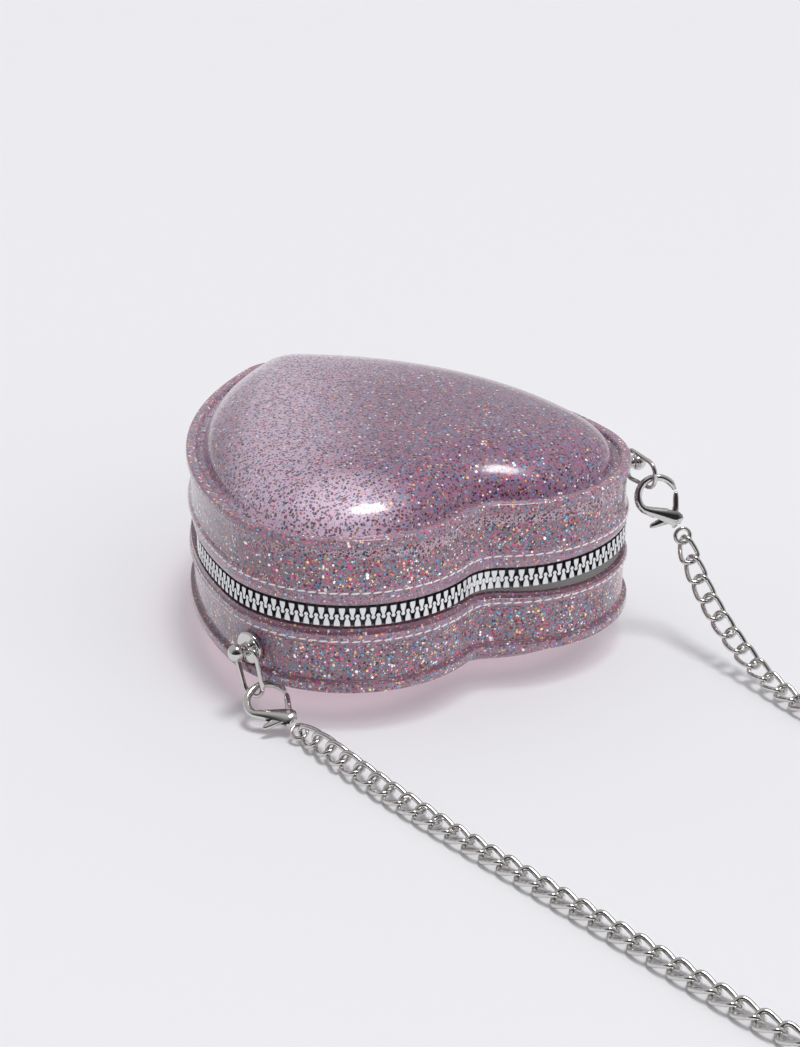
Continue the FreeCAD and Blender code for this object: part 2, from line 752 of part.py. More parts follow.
def clasp_shapes():
    """The hook, the lever, its pin and its spring, about the centre of the clasp's eye."""
    thick = size("clasp_thick")
    over = size("overrun")
    bore = size("clasp_pin_radius") + size("clasp_pin_clear")
    turn = HOOK_ROOT_ANGLE - HOOK_TIP_ANGLE
    hook = wire_solid([bend(hook_point(HOOK_TIP_ANGLE), clasp_point(CLASP_HOOK_CENTRE_SHARES),
                            Vector(0, 0, 1), turn / 2),
                       bend(hook_point(HOOK_TIP_ANGLE + turn / 2), clasp_point(CLASP_HOOK_CENTRE_SHARES),
                            Vector(0, 0, 1), turn / 2)], size("clasp_wire_radius"))
    eye = Part.makeTorus(size("clasp_eye_radius"), size("clasp_eye_wire"))
    body = clasp_plate(CLASP_BODY_SHARES, thick)
    edges = [edge for edge in body.Edges if abs(edge.Vertexes[0].Z - edge.Vertexes[1].Z) < thick / 2]
    body = body.makeChamfer(thick / 4, edges)
    body = body.cut(Part.makeCylinder(size("clasp_eye_radius"), 2 * thick, Vector(0, 0, -thick)))
    body = body.fuse(eye).fuse(hook)
    body = body.cut(clasp_plate(CLASP_SLOT_SHARES, size("clasp_slot")))
    body = body.cut(clasp_bar(bore, thick + over))
    lever = clasp_plate(CLASP_LEVER_SHARES, size("clasp_lever_thick"))
    lever = lever.cut(clasp_bar(bore, thick + over))
    pin = clasp_bar(size("clasp_pin_radius"), thick)
    spring = clasp_plate(CLASP_SPRING_SHARES, size("clasp_spring_thick"))
    return (("hook", body), ("lever", lever), ("pin", pin), ("spring", spring))


def ring_hold(name):
    """The centre of the hook's wire where it lies in the ring's end."""
    gap = size("ring_wire_radius") + size("clasp_wire_radius") + size("hook_clear")
    return stud_eye(name) + RING_WAY[name] * (size("ring_length") - gap)


HOLD_ANGLE = {"front": FRONT_HOLD_ANGLE, "rear": REAR_HOLD_ANGLE}


def clasp_face(name):
    """The way a clasp faces: the front one is rolled from level about its own run."""
    if name == "rear":
        return REAR_CLASP_FACE
    return Rotation(CLASP_RUN[name], size("front_clasp_roll")).multVec(Vector(0, 0, 1))


def clasp_place(name):
    """The clasp's own frame: its eye at the origin, facing along Z."""
    hold = hook_point(HOLD_ANGLE[name])
    run = unit(CLASP_RUN[name])
    face = clasp_face(name)
    face = unit(face - run * face.dot(run))
    across = face.cross(run)
    to_eye = unit(hold * -1)
    turned = frame(Vector(0, 0, 0), run * to_eye.x - across * to_eye.y, face)
    drop = size("rear_hook_drop") if name == "rear" else 0
    return Placement(ring_hold(name) - Vector(0, 0, drop) - turned.multVec(hold), turned.Rotation)


CLASP = {name: clasp_place(name) for name in ("front", "rear")}
for name, place in CLASP.items():
    for piece, shape in clasp_shapes():
        feature("%s_clasp_%s" % (name, piece), placed(shape, place))


# Chain: curb links walked along the route from eye to eye
def link_shape():
    wire = size("link_wire_radius")
    end = size("link_end_radius")
    twist = math.radians(size("link_twist"))
    half = link_half() - end
    side = end * math.cos(twist)
    lift = end * math.sin(twist)
    sweep_radius = (half ** 2 + lift ** 2) / (2 * lift)
    sweep = math.degrees(math.atan2(half, sweep_radius - lift))
    x_way = Vector(1, 0, 0)
    y_way = Vector(0, 1, 0)
    near = Vector(0, side, lift)
    far = Vector(0, side, -lift)
    lengths = []
    ends = ((near, x_way * half, near.cross(x_way)), (far * -1, x_way * -half, far.cross(x_way)))
    for start, centre, axis in ends:
        lengths.append(bend(centre + start, centre, axis, 90))
        quarter = Placement(centre, Rotation(unit(axis), 90)).multVec(start)
        lengths.append(bend(quarter, centre, axis, 90))
    for sign in (-1, 1):
        first = Vector(-sign * half, sign * side, sweep_radius - lift)
        second = Vector(sign * half, sign * side, lift - sweep_radius)
        lengths.append(bend(Vector(-sign * half, sign * side, -lift), first, y_way * -sign, sweep))
        lengths.append(bend(Vector(0, sign * side, 0), second, y_way * sign, sweep))
    return flipped(wire_solid(lengths, wire))


def link_half():
    return (size("link_pitch") + 2 * size("link_wire_radius") + size("link_play")) / 2


def rounded_route(points):
    """Points along straight runs joined by tangent arcs, each arc as large as its runs allow."""
    path = [points[0]]
    radii = []
    for before, point, after in zip(points, points[1:], points[2:]):
        back = unit(before - point)
        onward = unit(after - point)
        half_turn = (math.pi - back.getAngle(onward)) / 2
        reach = BEND_SHARE * min((before - point).Length, (after - point).Length)
        radius = reach / math.tan(half_turn)
        radii.append(radius)
        centre = point + unit(back + onward) * (radius / math.cos(half_turn))
        start = point + back * reach
        axis = unit((start - centre).cross(onward))
        steps = max(2, int(2 * half_turn * radius / ROUTE_STEP))
        for step in range(steps + 1):
            turn = Rotation(axis, math.degrees(2 * half_turn) * step / steps)
            path.append(centre + turn.multVec(start - centre))
    path.append(points[-1])
    print("chain bend radii:", " ".join("%.0f" % radius for radius in radii))
    return path


def coil_points():
    """The coil: in on the lower layer, up over half a turn, and out on the upper layer."""
    points = []
    outer = size("coil_radius")
    inner = size("coil_inner_radius")
    steps = int(COIL_TURN * math.radians(1) * outer / ROUTE_STEP)
    for step in range(steps + 1):
        turned = COIL_TURN * step / steps
        depth = 1 - abs(2 * turned / COIL_TURN - 1)
        climb = min(1, max(0, (turned - COIL_TURN / 2 + 90) / 180))
        climb = climb * climb * (3 - 2 * climb)
        height = size("coil_lift") + size("coil_layer") * climb
        radius = outer - (outer - inner) * depth
        points.append(COIL_CENTRE + on_arc(Vector(0, 0, 0), radius, math.radians(COIL_START + turned), height))
    return points


def chain_end(name):
    """Where the chain's line ends in a clasp's eye, a little behind the clasp's middle plane."""
    return CLASP[name].multVec(Vector(0, 0, -size("clasp_eye_wire")))


def chain_path():
    """All points of the chain, and how many belong to the front stretch and the coil."""
    coil = coil_points()
    front = rounded_route([chain_end("front")] + [Vector(*p) for p in FRONT_ROUTE] + coil[:1])
    rear = rounded_route(coil[-1:] + [Vector(*p) for p in REAR_ROUTE] + [chain_end("rear")])
    return front, coil, rear


def path_lengths(points):
    lengths = [0.0]
    for before, after in zip(points, points[1:]):
        lengths.append(lengths[-1] + (after - before).Length)
    return lengths


front_path, coil_path, rear_path = chain_path()
whole_path = front_path + coil_path[1:] + rear_path[1:]
whole_lengths = path_lengths(whole_path)
chain_length = whole_lengths[-1]
front_share = path_lengths(front_path)[-1] / chain_length
coil_share = front_share + path_lengths(coil_path)[-1] / chain_length


def path_at(distance):
    for number in range(1, len(whole_path)):
        if whole_lengths[number] >= distance:
            break
    span = whole_lengths[number] - whole_lengths[number - 1]
    share = (distance - whole_lengths[number - 1]) / span
    return whole_path[number - 1] + (whole_path[number] - whole_path[number - 1]) * share


def link_frame(distance, roll):
    half = link_half() / 2
    way = unit(path_at(distance + half) - path_at(distance - half))
    aside = unit(Vector(0, 0, 1).cross(way))
    up = Rotation(way, roll).multVec(way.cross(aside))
    return frame(path_at(distance), way, up)


def eye_roll(distance, name, sign):
    """The roll that turns a link's end into a clasp's eye."""
    straight_frame = link_frame(distance, 0)
    face = straight_frame.Rotation.inverted().multVec(CLASP[name].Rotation.multVec(Vector(0, 0, 1)))
    roll = math.degrees(math.atan2(face.z, face.y)) + sign * size("link_twist")
    return EYE_ROLL_SHARE * ((roll + 90) % 180 - 90)


eye_room = size("clasp_eye_radius") - size("clasp_eye_wire") - size("link_wire_radius")
lead = link_half() + eye_room - size("hook_clear")
link_count = 1 + round((chain_length - 2 * lead) / size("link_pitch"))
real_pitch = (chain_length - 2 * lead) / (link_count - 1)
first_roll = eye_roll(lead, "front", -1)
last_roll = eye_roll(chain_length - lead, "rear", 1)
link = link_shape()
stretches = {"chain_front": [], "chain_coil": [], "chain_rear": []}
for number in range(link_count):
    distance = lead + number * real_pitch
    front_ease = max(0, 1 - number / ROLL_LINKS)
    rear_ease = max(0, 1 - (link_count - 1 - number) / ROLL_LINKS)
    place = link_frame(distance, first_roll * front_ease + last_roll * rear_ease)
    share = distance / chain_length
    stretch = "chain_front" if share < front_share else "chain_coil" if share < coil_share else "chain_rear"
    stretches[stretch].append(placed(link, place))
for stretch, links in stretches.items():
    feature(stretch, Part.makeCompound(links))

link_turn = math.radians(size("link_twist"))
link_width = 2 * (size("link_end_radius") * math.cos(link_turn) + size("link_wire_radius"))
link_height = 2 * (size("link_end_radius") * math.sin(link_turn) + size("link_wire_radius"))
least = chain_length
for number, point in enumerate(coil_path):
    for other in coil_path[number + int(2 * size("coil_inner_radius") / ROUTE_STEP)::4]:
        least = min(least, (other - point).Length)
print("chain: %.0f mm, %d links, pitch %.3f mm" % (chain_length, link_count, real_pitch))
print("coil: least distance between turns %.2f mm, link height %.2f mm, width %.2f mm" % (
    least, link_height, link_width))

# Tie round the coil's two strands on its left side
strand_low, strand_high = [coil_path[int(len(coil_path) * (half_turns * 180 - COIL_START) / COIL_TURN)]
                           for half_turns in (3, 5)]
tie_left = min(strand_low.x, strand_high.x) - link_width / 2 - size("tie_room")
tie_right = max(strand_low.x, strand_high.x) + link_width / 2 + size("tie_room")
tie_top = size("coil_lift") + size("coil_layer") + size("chain_floor") + size("tie_room")
tie_under = size("coil_lift") - size("chain_floor")
tie_back = (strand_low.y + strand_high.y) / 2 - size("tie_width") / 2


def tie_block(name, grow, over):
    box = doc.addObject("Part::Box", name)
    box.Length = tie_right - tie_left + 2 * grow
    box.setExpression("Width", "%s + 2 * %s" % (bound("tie_width"), over))
    box.Height = tie_top - tie_under + 2 * grow
    lead_in = 0 if over == "0" else size("overrun")
    box.Placement = Placement(Vector(tie_left - grow, tie_back - lead_in, tie_under - grow), Rotation())
    return box


keep(cut("tie_cut", tie_block("tie_outer", size("tie_thick"), "0"),
         tie_block("tie_inner", 0, bound("overrun"))), "chain_tie")

# Checks, then one file for each sub-part
doc.recompute()
broken = [item.Name for item in doc.Objects if "Invalid" in item.State or "Error" in item.State]
broken += [part.Label for part in NODES if part.Shape.isNull() or not part.Shape.isValid()]
if broken:
    raise RuntimeError("not built: " + ", ".join(broken))
os.makedirs("parts", exist_ok=True)
for part in NODES:
    part.Shape.exportStep("parts/%s.step" % part.Label)
print("%d sub-parts" % len(NODES))
for part in NODES:
    box = part.Shape.BoundBox
    print("%-22s %3d solids %10.1f mm3  z %.2f..%.2f" % (
        part.Label, len(part.Shape.Solids), part.Shape.Volume, box.ZMin, box.ZMax))
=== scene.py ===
from bisect import bisect_right
import math
import bpy
import bmesh
from mathutils import Matrix, Quaternion, Vector


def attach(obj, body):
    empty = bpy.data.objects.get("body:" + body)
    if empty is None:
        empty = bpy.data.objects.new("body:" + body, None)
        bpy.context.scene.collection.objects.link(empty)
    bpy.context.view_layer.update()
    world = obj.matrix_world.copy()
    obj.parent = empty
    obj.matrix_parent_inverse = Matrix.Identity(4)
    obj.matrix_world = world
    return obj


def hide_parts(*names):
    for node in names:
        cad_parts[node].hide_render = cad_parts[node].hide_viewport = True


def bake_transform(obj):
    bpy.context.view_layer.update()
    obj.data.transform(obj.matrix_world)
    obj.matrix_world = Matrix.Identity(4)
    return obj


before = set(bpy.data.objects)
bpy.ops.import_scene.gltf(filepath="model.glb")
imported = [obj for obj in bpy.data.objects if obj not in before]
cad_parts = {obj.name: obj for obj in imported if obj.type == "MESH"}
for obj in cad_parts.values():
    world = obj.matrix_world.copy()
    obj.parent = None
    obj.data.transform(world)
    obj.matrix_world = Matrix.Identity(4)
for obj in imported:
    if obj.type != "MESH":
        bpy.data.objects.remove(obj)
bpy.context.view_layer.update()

# The purse's sizes are in millimetres, and turned to metres where its meshes are made.
MM = 0.001
# Height of the middle of the shells, and of the studs, which the zip follows along the flanks
MID, STUD_MID = 38.4, 38.8
# The heart's outline, with the radii of its arcs
WIDTH, LENGTH = 140.0, 156.9
LOBE, CLEFT, TIP, FLANK = 42.9, 12.9, 15.5, 131.6
# The rim's height from the middle, the dome's rise above the rim, and the lip's above the groove
RIM, DOME_RISE, LIP_STAND = 25.4, 13.0, 1.5
# The wall's thickness, and how far wall and flange lie inside the outline
WALL, WALL_STEP, FLANGE_STEP = 2.2, 1.2, 0.2
LIP_WIDTH, GROOVE, UPPER_LIP, LOWER_LIP, LOWER_LIP_REACH = 3.5, 2.6, 3.1, 3.5, 0.35
# Heights of a flange from the middle: its edge, where it stops following the edge's waves, and its top
EDGE, EDGE_LIFT_END, FLANGE_TOP = 5.0, 8.0, 9.2
# How the edges and the closed zip wander
EDGE_SAG, EDGE_SPREAD, ZIP_RISE, ZIP_BULGE = 1.1, 2.1, 1.3, 1.4
# The dome's higher rings lie nearer the lobes and have a wider cleft. They are closest together at its foot.
DOME_SHIFT, DOME_EASING, DOME_FOOT = 12.0, 70.0, 0.8
DOME_FALL, DOME_ROUND = 4.2, 0.53
DOME_SHARES = [1 - 0.004 * step for step in range(1, 13)] + [0.945 - 0.0325 * step for step in range(29)]
TAPE_CLEAR, TAPE_HALF = 0.1, 0.35
TAPE_MIDDLE = WALL_STEP + WALL + TAPE_CLEAR + TAPE_HALF
TOOTH_PITCH, TOOTH_THICK = 2.9, 3.5
TOOTH_END_SHARE = 0.697
UP = Vector((0, 0, 1))


# Camera
camera_data = bpy.data.cameras.new("camera")
camera_data.sensor_width = 36.0
camera_data.lens = 75.645
camera_data.clip_start = 0.01
camera = bpy.data.objects.new("camera", camera_data)
camera.location = (-0.3248, -0.5919, 0.3298)
camera.rotation_euler = (math.pi / 2 - 0.417, 0, -0.516)
bpy.context.scene.collection.objects.link(camera)
bpy.context.scene.camera = camera


# Materials
def shader(name):
    material = bpy.data.materials.new(name)
    material.use_nodes = True
    nodes = material.node_tree.nodes
    return material, nodes, material.node_tree.links, nodes["Principled BSDF"]


def set_inputs(node, *values):
    for socket, value in values:
        node.inputs[socket].default_value = value


def plain(name, colour, roughness, metallic=0.0):
    material, nodes, links, bsdf = shader(name)
    set_inputs(bsdf, ("Base Color", (*colour, 1)), ("Roughness", roughness), ("Metallic", metallic))
    return material


def mix_colour(nodes, links, factor, first, second, blend="MIX"):
    """A colour mix node; each of factor, first and second is a socket or a constant."""
    node = nodes.new("ShaderNodeMix")
    node.data_type = "RGBA"
    node.blend_type = blend
    for number, value in ((0, factor), (6, first), (7, second)):
        if isinstance(value, bpy.types.NodeSocket):
            links.new(value, node.inputs[number])
        elif number == 0:
            node.inputs[number].default_value = value
        else:
            node.inputs[number].default_value = (*value, 1)
    return node.outputs[2]


def number_node(nodes, links, operation, first, second=0.0, third=0.0):
    """A maths node; each of first, second and third is a socket or a constant."""
    node = nodes.new("ShaderNodeMath")
    node.operation = operation
    for slot, value in ((0, first), (1, second), (2, third)):
        if isinstance(value, bpy.types.NodeSocket):
            links.new(value, node.inputs[slot])
        else:
            node.inputs[slot].default_value = value
    return node.outputs[0]


# What each point of a shell carries for its material: how clear it is, whether it is on the dome, how much
# light is painted under the lip, how much shade is painted at a ledge, a crease or the far left walls, and how
# much light is painted on the dome.
SURFACE = ("clear", "dome", "under", "painted_shade", "pale")
# Glitter colours, each from its place in a random number's range up to the next.
FLAKES = (
    (0.00, (0.030, 0.024, 0.045)), (0.12, (0.150, 0.016, 0.050)), (0.30, (0.030, 0.160, 0.330)),
    (0.42, (0.040, 0.330, 0.520)), (0.52, (0.520, 0.025, 0.190)), (0.64, (0.560, 0.070, 0.060)),
    (0.74, (0.760, 0.440, 0.140)), (0.82, (0.130, 0.070, 0.090)), (0.93, (0.900, 0.880, 0.900)),
)
# Sizes of glitter: cells to the metre, the share of them with a flake, and how much more it shows on the dome
FLAKE_LAYERS = ((2300, 0.75, -0.6), (900, 0.60, 0.0), (1250, 0.65, 0.0))
# A flake's radius in its cell, and the least and the spread of the random brightness painted on each flake as a
# glint
FLAKE_RADIUS, DARKEST_FLAKE, FLAKE_SPREAD = 0.42, 0.15, 1.7
# Vinyl colours: two cloud tones and clear edges; the dome's colour is darkened as painted shade against the
# light from above; pale and lit are painted light on the dome and under the lip, and the last is painted shade
# for ledges, creases and the far left walls
VINYL = {
    "dark cloud": (0.205, 0.145, 0.180), "pale cloud": (0.300, 0.220, 0.265), "clear": (0.375, 0.235, 0.320),
    "dome": (0.240, 0.132, 0.228), "pale": (0.720, 0.550, 0.700), "lit": (0.540, 0.385, 0.470),
    "painted_shade": (0.150, 0.068, 0.098),
}


def flake_layer(nodes, links, place, scale, keep):
    """Glitter flakes: a mask and a colour, one flake in a share of the cells."""
    cells = nodes.new("ShaderNodeTexVoronoi")
    cells.inputs["Scale"].default_value = scale
    links.new(place, cells.inputs["Vector"])
    random = nodes.new("ShaderNodeSeparateColor")
    links.new(cells.outputs["Color"], random.inputs[0])
    near = number_node(nodes, links, "LESS_THAN", cells.outputs["Distance"], FLAKE_RADIUS)
    held = number_node(nodes, links, "LESS_THAN", random.outputs[1], keep)
    mask = number_node(nodes, links, "MULTIPLY", near, held)
    ramp = nodes.new("ShaderNodeValToRGB")
    ramp.color_ramp.interpolation = "CONSTANT"
    stops = ramp.color_ramp.elements
    stops[1].position = FLAKES[-1][0]
    for position, colour in FLAKES[1:-1]:
        stops.new(position)
    for stop, (position, colour) in zip(stops, FLAKES):
        stop.position = position
        stop.color = (*colour, 1)
    links.new(random.outputs[0], ramp.inputs[0])
    # Painted glints: each flake's colour is scaled by a random brightness, in place of flakes tilted to or from
    # the light
    painted_glint = number_node(nodes, links, "MULTIPLY_ADD", random.outputs[2], FLAKE_SPREAD, DARKEST_FLAKE)
    colour = mix_colour(nodes, links, 1.0, ramp.outputs[0], painted_glint, "MULTIPLY")
    return mask, colour


def surface_value(nodes, name):
    node = nodes.new("ShaderNodeAttribute")
    node.attribute_name = name
    return node.outputs["Fac"]


def noise(nodes, links, place, scale, detail=2):
    node = nodes.new("ShaderNodeTexNoise")
    set_inputs(node, ("Scale", scale), ("Detail", detail))
    links.new(place, node.inputs["Vector"])
    return node.outputs[0]


def jelly_material():
    """Translucent mauve vinyl with glitter in it; clear edges hold few flakes, painted light shows them dark,
    and painted shade darkens the dome, ledges and creases.
    """
    material, nodes, links, bsdf = shader("jelly")
    place = nodes.new("ShaderNodeTexCoord").outputs["Object"]
    clear, dome, under, painted_shade, pale = [surface_value(nodes, name) for name in SURFACE]
    # Painted glow of light under the upper lip, with a noisy edge
    wavy = number_node(nodes, links, "MULTIPLY_ADD", noise(nodes, links, place, 60), 1.6, under)
    painted_glow_mask = nodes.new("ShaderNodeMapRange")
    painted_glow_mask.interpolation_type = "SMOOTHSTEP"
    set_inputs(painted_glow_mask, ("From Min", 1.22), ("From Max", 1.46), ("To Min", 0.0), ("To Max", 0.95))
    links.new(wavy, painted_glow_mask.inputs["Value"])
    cloud = noise(nodes, links, place, 45, 3)
    base = mix_colour(nodes, links, cloud, VINYL["dark cloud"], VINYL["pale cloud"])
    # Mixed in, in turn: clear edges, the dome darkened as painted shade against the light from above, painted
    # light on the dome, the painted glow under the lip, and painted shade at ledges and creases
    factors = (clear, "clear"), (dome, "dome"), (pale, "pale"), (painted_glow_mask.outputs[0], "lit"), (painted_shade, "painted_shade")
    for factor, shade in factors:
        base = mix_colour(nodes, links, factor, base, VINYL[shade])
    # Flake brightness: dimmer on the dome as painted shade, and dimmer where light is painted on the dome, so
    # that they show dark against it
    lit = number_node(nodes, links, "MULTIPLY_ADD", dome, -0.55, 1.35)
    lit = number_node(nodes, links, "SUBTRACT", lit, number_node(nodes, links, "MULTIPLY", pale, 0.3))
    # Flakes show darker inside the painted glow
    fade = number_node(nodes, links, "MULTIPLY_ADD", painted_glow_mask.outputs[0], -0.85, lit)
    # Fewer flakes on clear edges, in painted shade and in the painted light on the dome
    few = number_node(nodes, links, "MAXIMUM", clear, painted_shade)
    few = number_node(nodes, links, "MAXIMUM", few, number_node(nodes, links, "MULTIPLY", pale, 0.4))
    thin = number_node(nodes, links, "MULTIPLY_ADD", few, -0.6, 1.0)
    total = None
    for scale, held, on_dome in FLAKE_LAYERS:
        mask, colour = flake_layer(nodes, links, place, scale, held)
        share = number_node(nodes, links, "MULTIPLY_ADD", dome, on_dome, 1.0)
        shown = number_node(nodes, links, "MULTIPLY", mask, share)
        shown = number_node(nodes, links, "MULTIPLY", shown, thin)
        colour = mix_colour(nodes, links, 1.0, colour, fade, "MULTIPLY")
        base = mix_colour(nodes, links, shown, base, colour)
        total = shown if total is None else number_node(nodes, links, "MAXIMUM", total, shown)
    links.new(base, bsdf.inputs["Base Color"])
    links.new(number_node(nodes, links, "MULTIPLY", total, 0.25), bsdf.inputs["Metallic"])
    set_inputs(bsdf, ("Roughness", 0.38), ("Coat Weight", 0.9), ("Coat Roughness", 0.15))
    set_inputs(bsdf, ("Subsurface Weight", 0.06), ("Subsurface Radius", (0.004, 0.002, 0.003)),
               ("Subsurface Scale", 0.6))
    bump = nodes.new("ShaderNodeBump")
    set_inputs(bump, ("Strength", 0.12), ("Distance", 0.001))
    links.new(noise(nodes, links, place, 70), bump.inputs["Height"])
    links.new(bump.outputs[0], bsdf.inputs["Coat Normal"])
    output = nodes["Material Output"]
    light_path = nodes.new("ShaderNodeLightPath")
    through = nodes.new("ShaderNodeBsdfTransparent")
    through.inputs[0].default_value = (0.97, 0.91, 0.93, 1)
    mix = nodes.new("ShaderNodeMixShader")
    shadow, diffuse = light_path.outputs["Is Shadow Ray"], light_path.outputs["Is Diffuse Ray"]
    soft = number_node(nodes, links, "MAXIMUM", shadow, diffuse)
    links.new(number_node(nodes, links, "MULTIPLY", soft, 0.93), mix.inputs[0])
    links.new(bsdf.outputs[0], mix.inputs[1])
    links.new(through.outputs[0], mix.inputs[2])
    links.new(mix.outputs[0], output.inputs[0])
    return material


def weave_material(name, dark, pale):
    material, nodes, links, bsdf = shader(name)
    place = nodes.new("ShaderNodeTexCoord").outputs["Object"]
    weave = nodes.new("ShaderNodeTexChecker")
    weave.inputs["Scale"].default_value = 2600
    links.new(place, weave.inputs["Vector"])
    links.new(mix_colour(nodes, links, weave.outputs["Fac"], dark, pale), bsdf.inputs["Base Color"])
    bsdf.inputs["Roughness"].default_value = 0.8
    return material


JELLY = jelly_material()
NICKEL = plain("nickel", (0.68, 0.665, 0.645), 0.11, 1.0)
STEEL = plain("spring steel", (0.55, 0.55, 0.55), 0.3, 1.0)
SILVER = plain("tooth face", (0.86, 0.87, 0.89), 0.28, 0.35)
RESIN = plain("tooth resin", (0.012, 0.012, 0.014), 0.35)
TAPE = weave_material("zip tape", (0.10, 0.10, 0.10), (0.36, 0.35, 0.34))
LINING = plain("hinge vinyl", (0.36, 0.24, 0.30), 0.4)
THREAD = plain("thread", (0.82, 0.80, 0.81), 0.6)
BAND = plain("clear band", (0.85, 0.86, 0.88), 0.25)


# Meshes
def mesh_object(name, points, faces, materials, picks=None, smooth=True):
    mesh = bpy.data.meshes.new(name)
    mesh.from_pydata([tuple(c * MM for c in p) for p in points], [], faces)
    for material in materials if isinstance(materials, (list, tuple)) else [materials]:
        mesh.materials.append(material)
    if picks:
        mesh.polygons.foreach_set("material_index", picks)
    mesh.polygons.foreach_set("use_smooth", [smooth] * len(mesh.polygons))
    mesh.update()
    thing = bpy.data.objects.new(name, mesh)
    bpy.context.scene.collection.objects.link(thing)
    return thing


def ring_faces(count, sides, closed, first=0, ends=True):
    """Faces between rings of points, and over both ends of an open row of rings."""
    faces = []
    for ring in range(count if closed else count - 1):
        near = first + ring * sides
        far = first + (ring + 1) % count * sides
        for side in range(sides):
            after = (side + 1) % sides
            faces.append((near + side, near + after, far + after, far + side))
    if ends and not closed:
        faces.append(tuple(first + side for side in reversed(range(sides))))
        faces.append(tuple(first + (count - 1) * sides + side for side in range(sides)))
    return faces


def tube(path, radii, closed=False, sides=12, flat=None):
    """Points and faces of a tube along a path; flat is a flat path's normal and the radii along that."""
    count = len(path)
    points = []
    ways = []
    for number in range(count):
        before = path[number - 1] if closed or number else path[0]
        after = path[(number + 1) % count] if closed or number < count - 1 else path[-1]
        ways.append((after - before).normalized())
    aside = ways[0].orthogonal().normalized() if flat is None else flat[0].cross(ways[0]).normalized()
    for number in range(count):
        if flat is None:
            aside = (aside - ways[number] * aside.dot(ways[number])).normalized()
        else:
            aside = flat[0].cross(ways[number]).normalized()
        across = ways[number].cross(aside)
        wide = radii[number] if isinstance(radii, (list, tuple)) else radii
        thick = wide if flat is None else flat[1][number]
        for side in range(sides):
            angle = 2 * math.pi * side / sides
            point = path[number] + aside * (wide * math.cos(angle))
            points.append(point + across * (thick * math.sin(angle)))
    return points, ring_faces(count, sides, closed)


def bend_points(start, centre, axis, angle, steps):
    """Points along an arc from start, without the last one."""
    turns = [Quaternion(axis, math.radians(angle) * step / steps) for step in range(steps)]
    return [centre + turn @ (start - centre) for turn in turns]


def measured(path):
    """How far along a path each of its points is."""
    lengths = [0.0]
    for before, after in zip(path, path[1:]):
        lengths.append(lengths[-1] + (after - before).length)
    return lengths


def point_at(path, lengths, distance):
    low = min(max(bisect_right(lengths, distance) - 1, 0), len(lengths) - 2)
    return path[low].lerp(path[low + 1], (distance - lengths[low]) / (lengths[low + 1] - lengths[low]))


# The heart outline of the shells: six tangent arcs
ARC_STEPS = (120, 90, 44, 90, 120, 60)


def heart_arcs(inset, share=1.0):
    width, length = (WIDTH - 2 * inset) * share, (LENGTH - 2 * inset) * share
    lobe, tip, flank = (LOBE - inset) * share, (TIP - inset) * share, (FLANK - inset) * share
    cleft = (CLEFT + inset) * share + DOME_EASING * (1 - share)
    middle = -DOME_SHIFT * (1 - share)
    span = width / 2 - lobe
    low, high = middle + lobe - length / 2, middle + length / 2 - tip
    notch = low - math.sqrt((cleft + lobe) ** 2 - span ** 2)
    turn = math.atan2(low - notch, span)
    gap = math.hypot(span, high - low)
    to_lobe, to_tip = flank - lobe, flank - tip
    along = (to_lobe ** 2 - to_tip ** 2 + gap ** 2) / (2 * gap)
    aside = math.sqrt(to_lobe ** 2 - along ** 2)
    way_x, way_y = -span / gap, (high - low) / gap
    flank_x, flank_y = span + way_x * along - way_y * aside, low + way_y * along + way_x * aside
    seam, peak = math.atan2(low - flank_y, span - flank_x), math.atan2(high - flank_y, -flank_x)
    return (
        (span, low, lobe, turn - math.pi, seam), (flank_x, flank_y, flank, seam, peak),
        (0, high, tip, peak, math.pi - peak), (-flank_x, flank_y, flank, math.pi - peak, math.pi - seam),
        (-span, low, lobe, math.pi - seam, 2 * math.pi - turn), (0, notch, cleft, math.pi - turn, turn),
    )


FLANK_SEAM, FLANK_PEAK = heart_arcs(0)[1][3:]
TOOTH_END = FLANK_SEAM + (FLANK_PEAK - FLANK_SEAM) * TOOTH_END_SHARE


def heart_ring(inset, share=1.0):
    points = []
    for (x, y, radius, start, end), steps in zip(heart_arcs(inset, share), ARC_STEPS):
        for step in range(steps):
            angle = start + (end - start) * step / steps
            points.append((x + radius * math.cos(angle), y + radius * math.sin(angle)))
    return points


def rounded_profile(corners, steps=5):
    """Points of an open profile of (inset, height, corner radius, surface values)."""
    points = []
    for number, (x, y, radius, *values) in enumerate(corners):
        here = Vector((x, y))
        if number in (0, len(corners) - 1) or radius == 0:
            points.append((x, y, values))
            continue
        back = Vector(corners[number - 1][:2]) - here
        onward = Vector(corners[number + 1][:2]) - here
        half = back.angle(onward) / 2
        reach = min(radius / math.tan(half), 0.48 * back.length, 0.48 * onward.length)
        start, end = here + back.normalized() * reach, here + onward.normalized() * reach
        for step in range(steps + 1):
            share = step / steps
            point = start * (1 - share) ** 2 + here * (2 * share * (1 - share)) + end * share ** 2
            points.append((point.x, point.y, values))
    return points


def smooth_step(low, high, value):
    share = min(1, max(0, (value - low) / (high - low)))
    return share * share * (3 - 2 * share)


def zip_rise(x, y):
    """How far the closed zip is drawn up under the upper flange on the right lobe."""
    return ZIP_RISE * smooth_step(5, 60, x) * (1 - smooth_step(-20, 6, y))


def flank_share(y):
    """0 round the lobes and 1 along the flanks."""
    return smooth_step(-8, 9, y)


def edge_height(side, x, y):
    """How far above the middle a shell's flange ends: less than 0 for the lower shell, whose side is -1."""
    if side < 0:
        return -EDGE + EDGE_SAG - EDGE_SPREAD * smooth_step(-25, 40, x)
    flank = flank_share(y)
    return EDGE + zip_rise(x, y) - EDGE_SAG * (1 - flank) + (STUD_MID - MID) * flank


# The way across the dome from its left to its right, as the camera sees it
RIGHT_X, RIGHT_Y = 0.87, -0.493
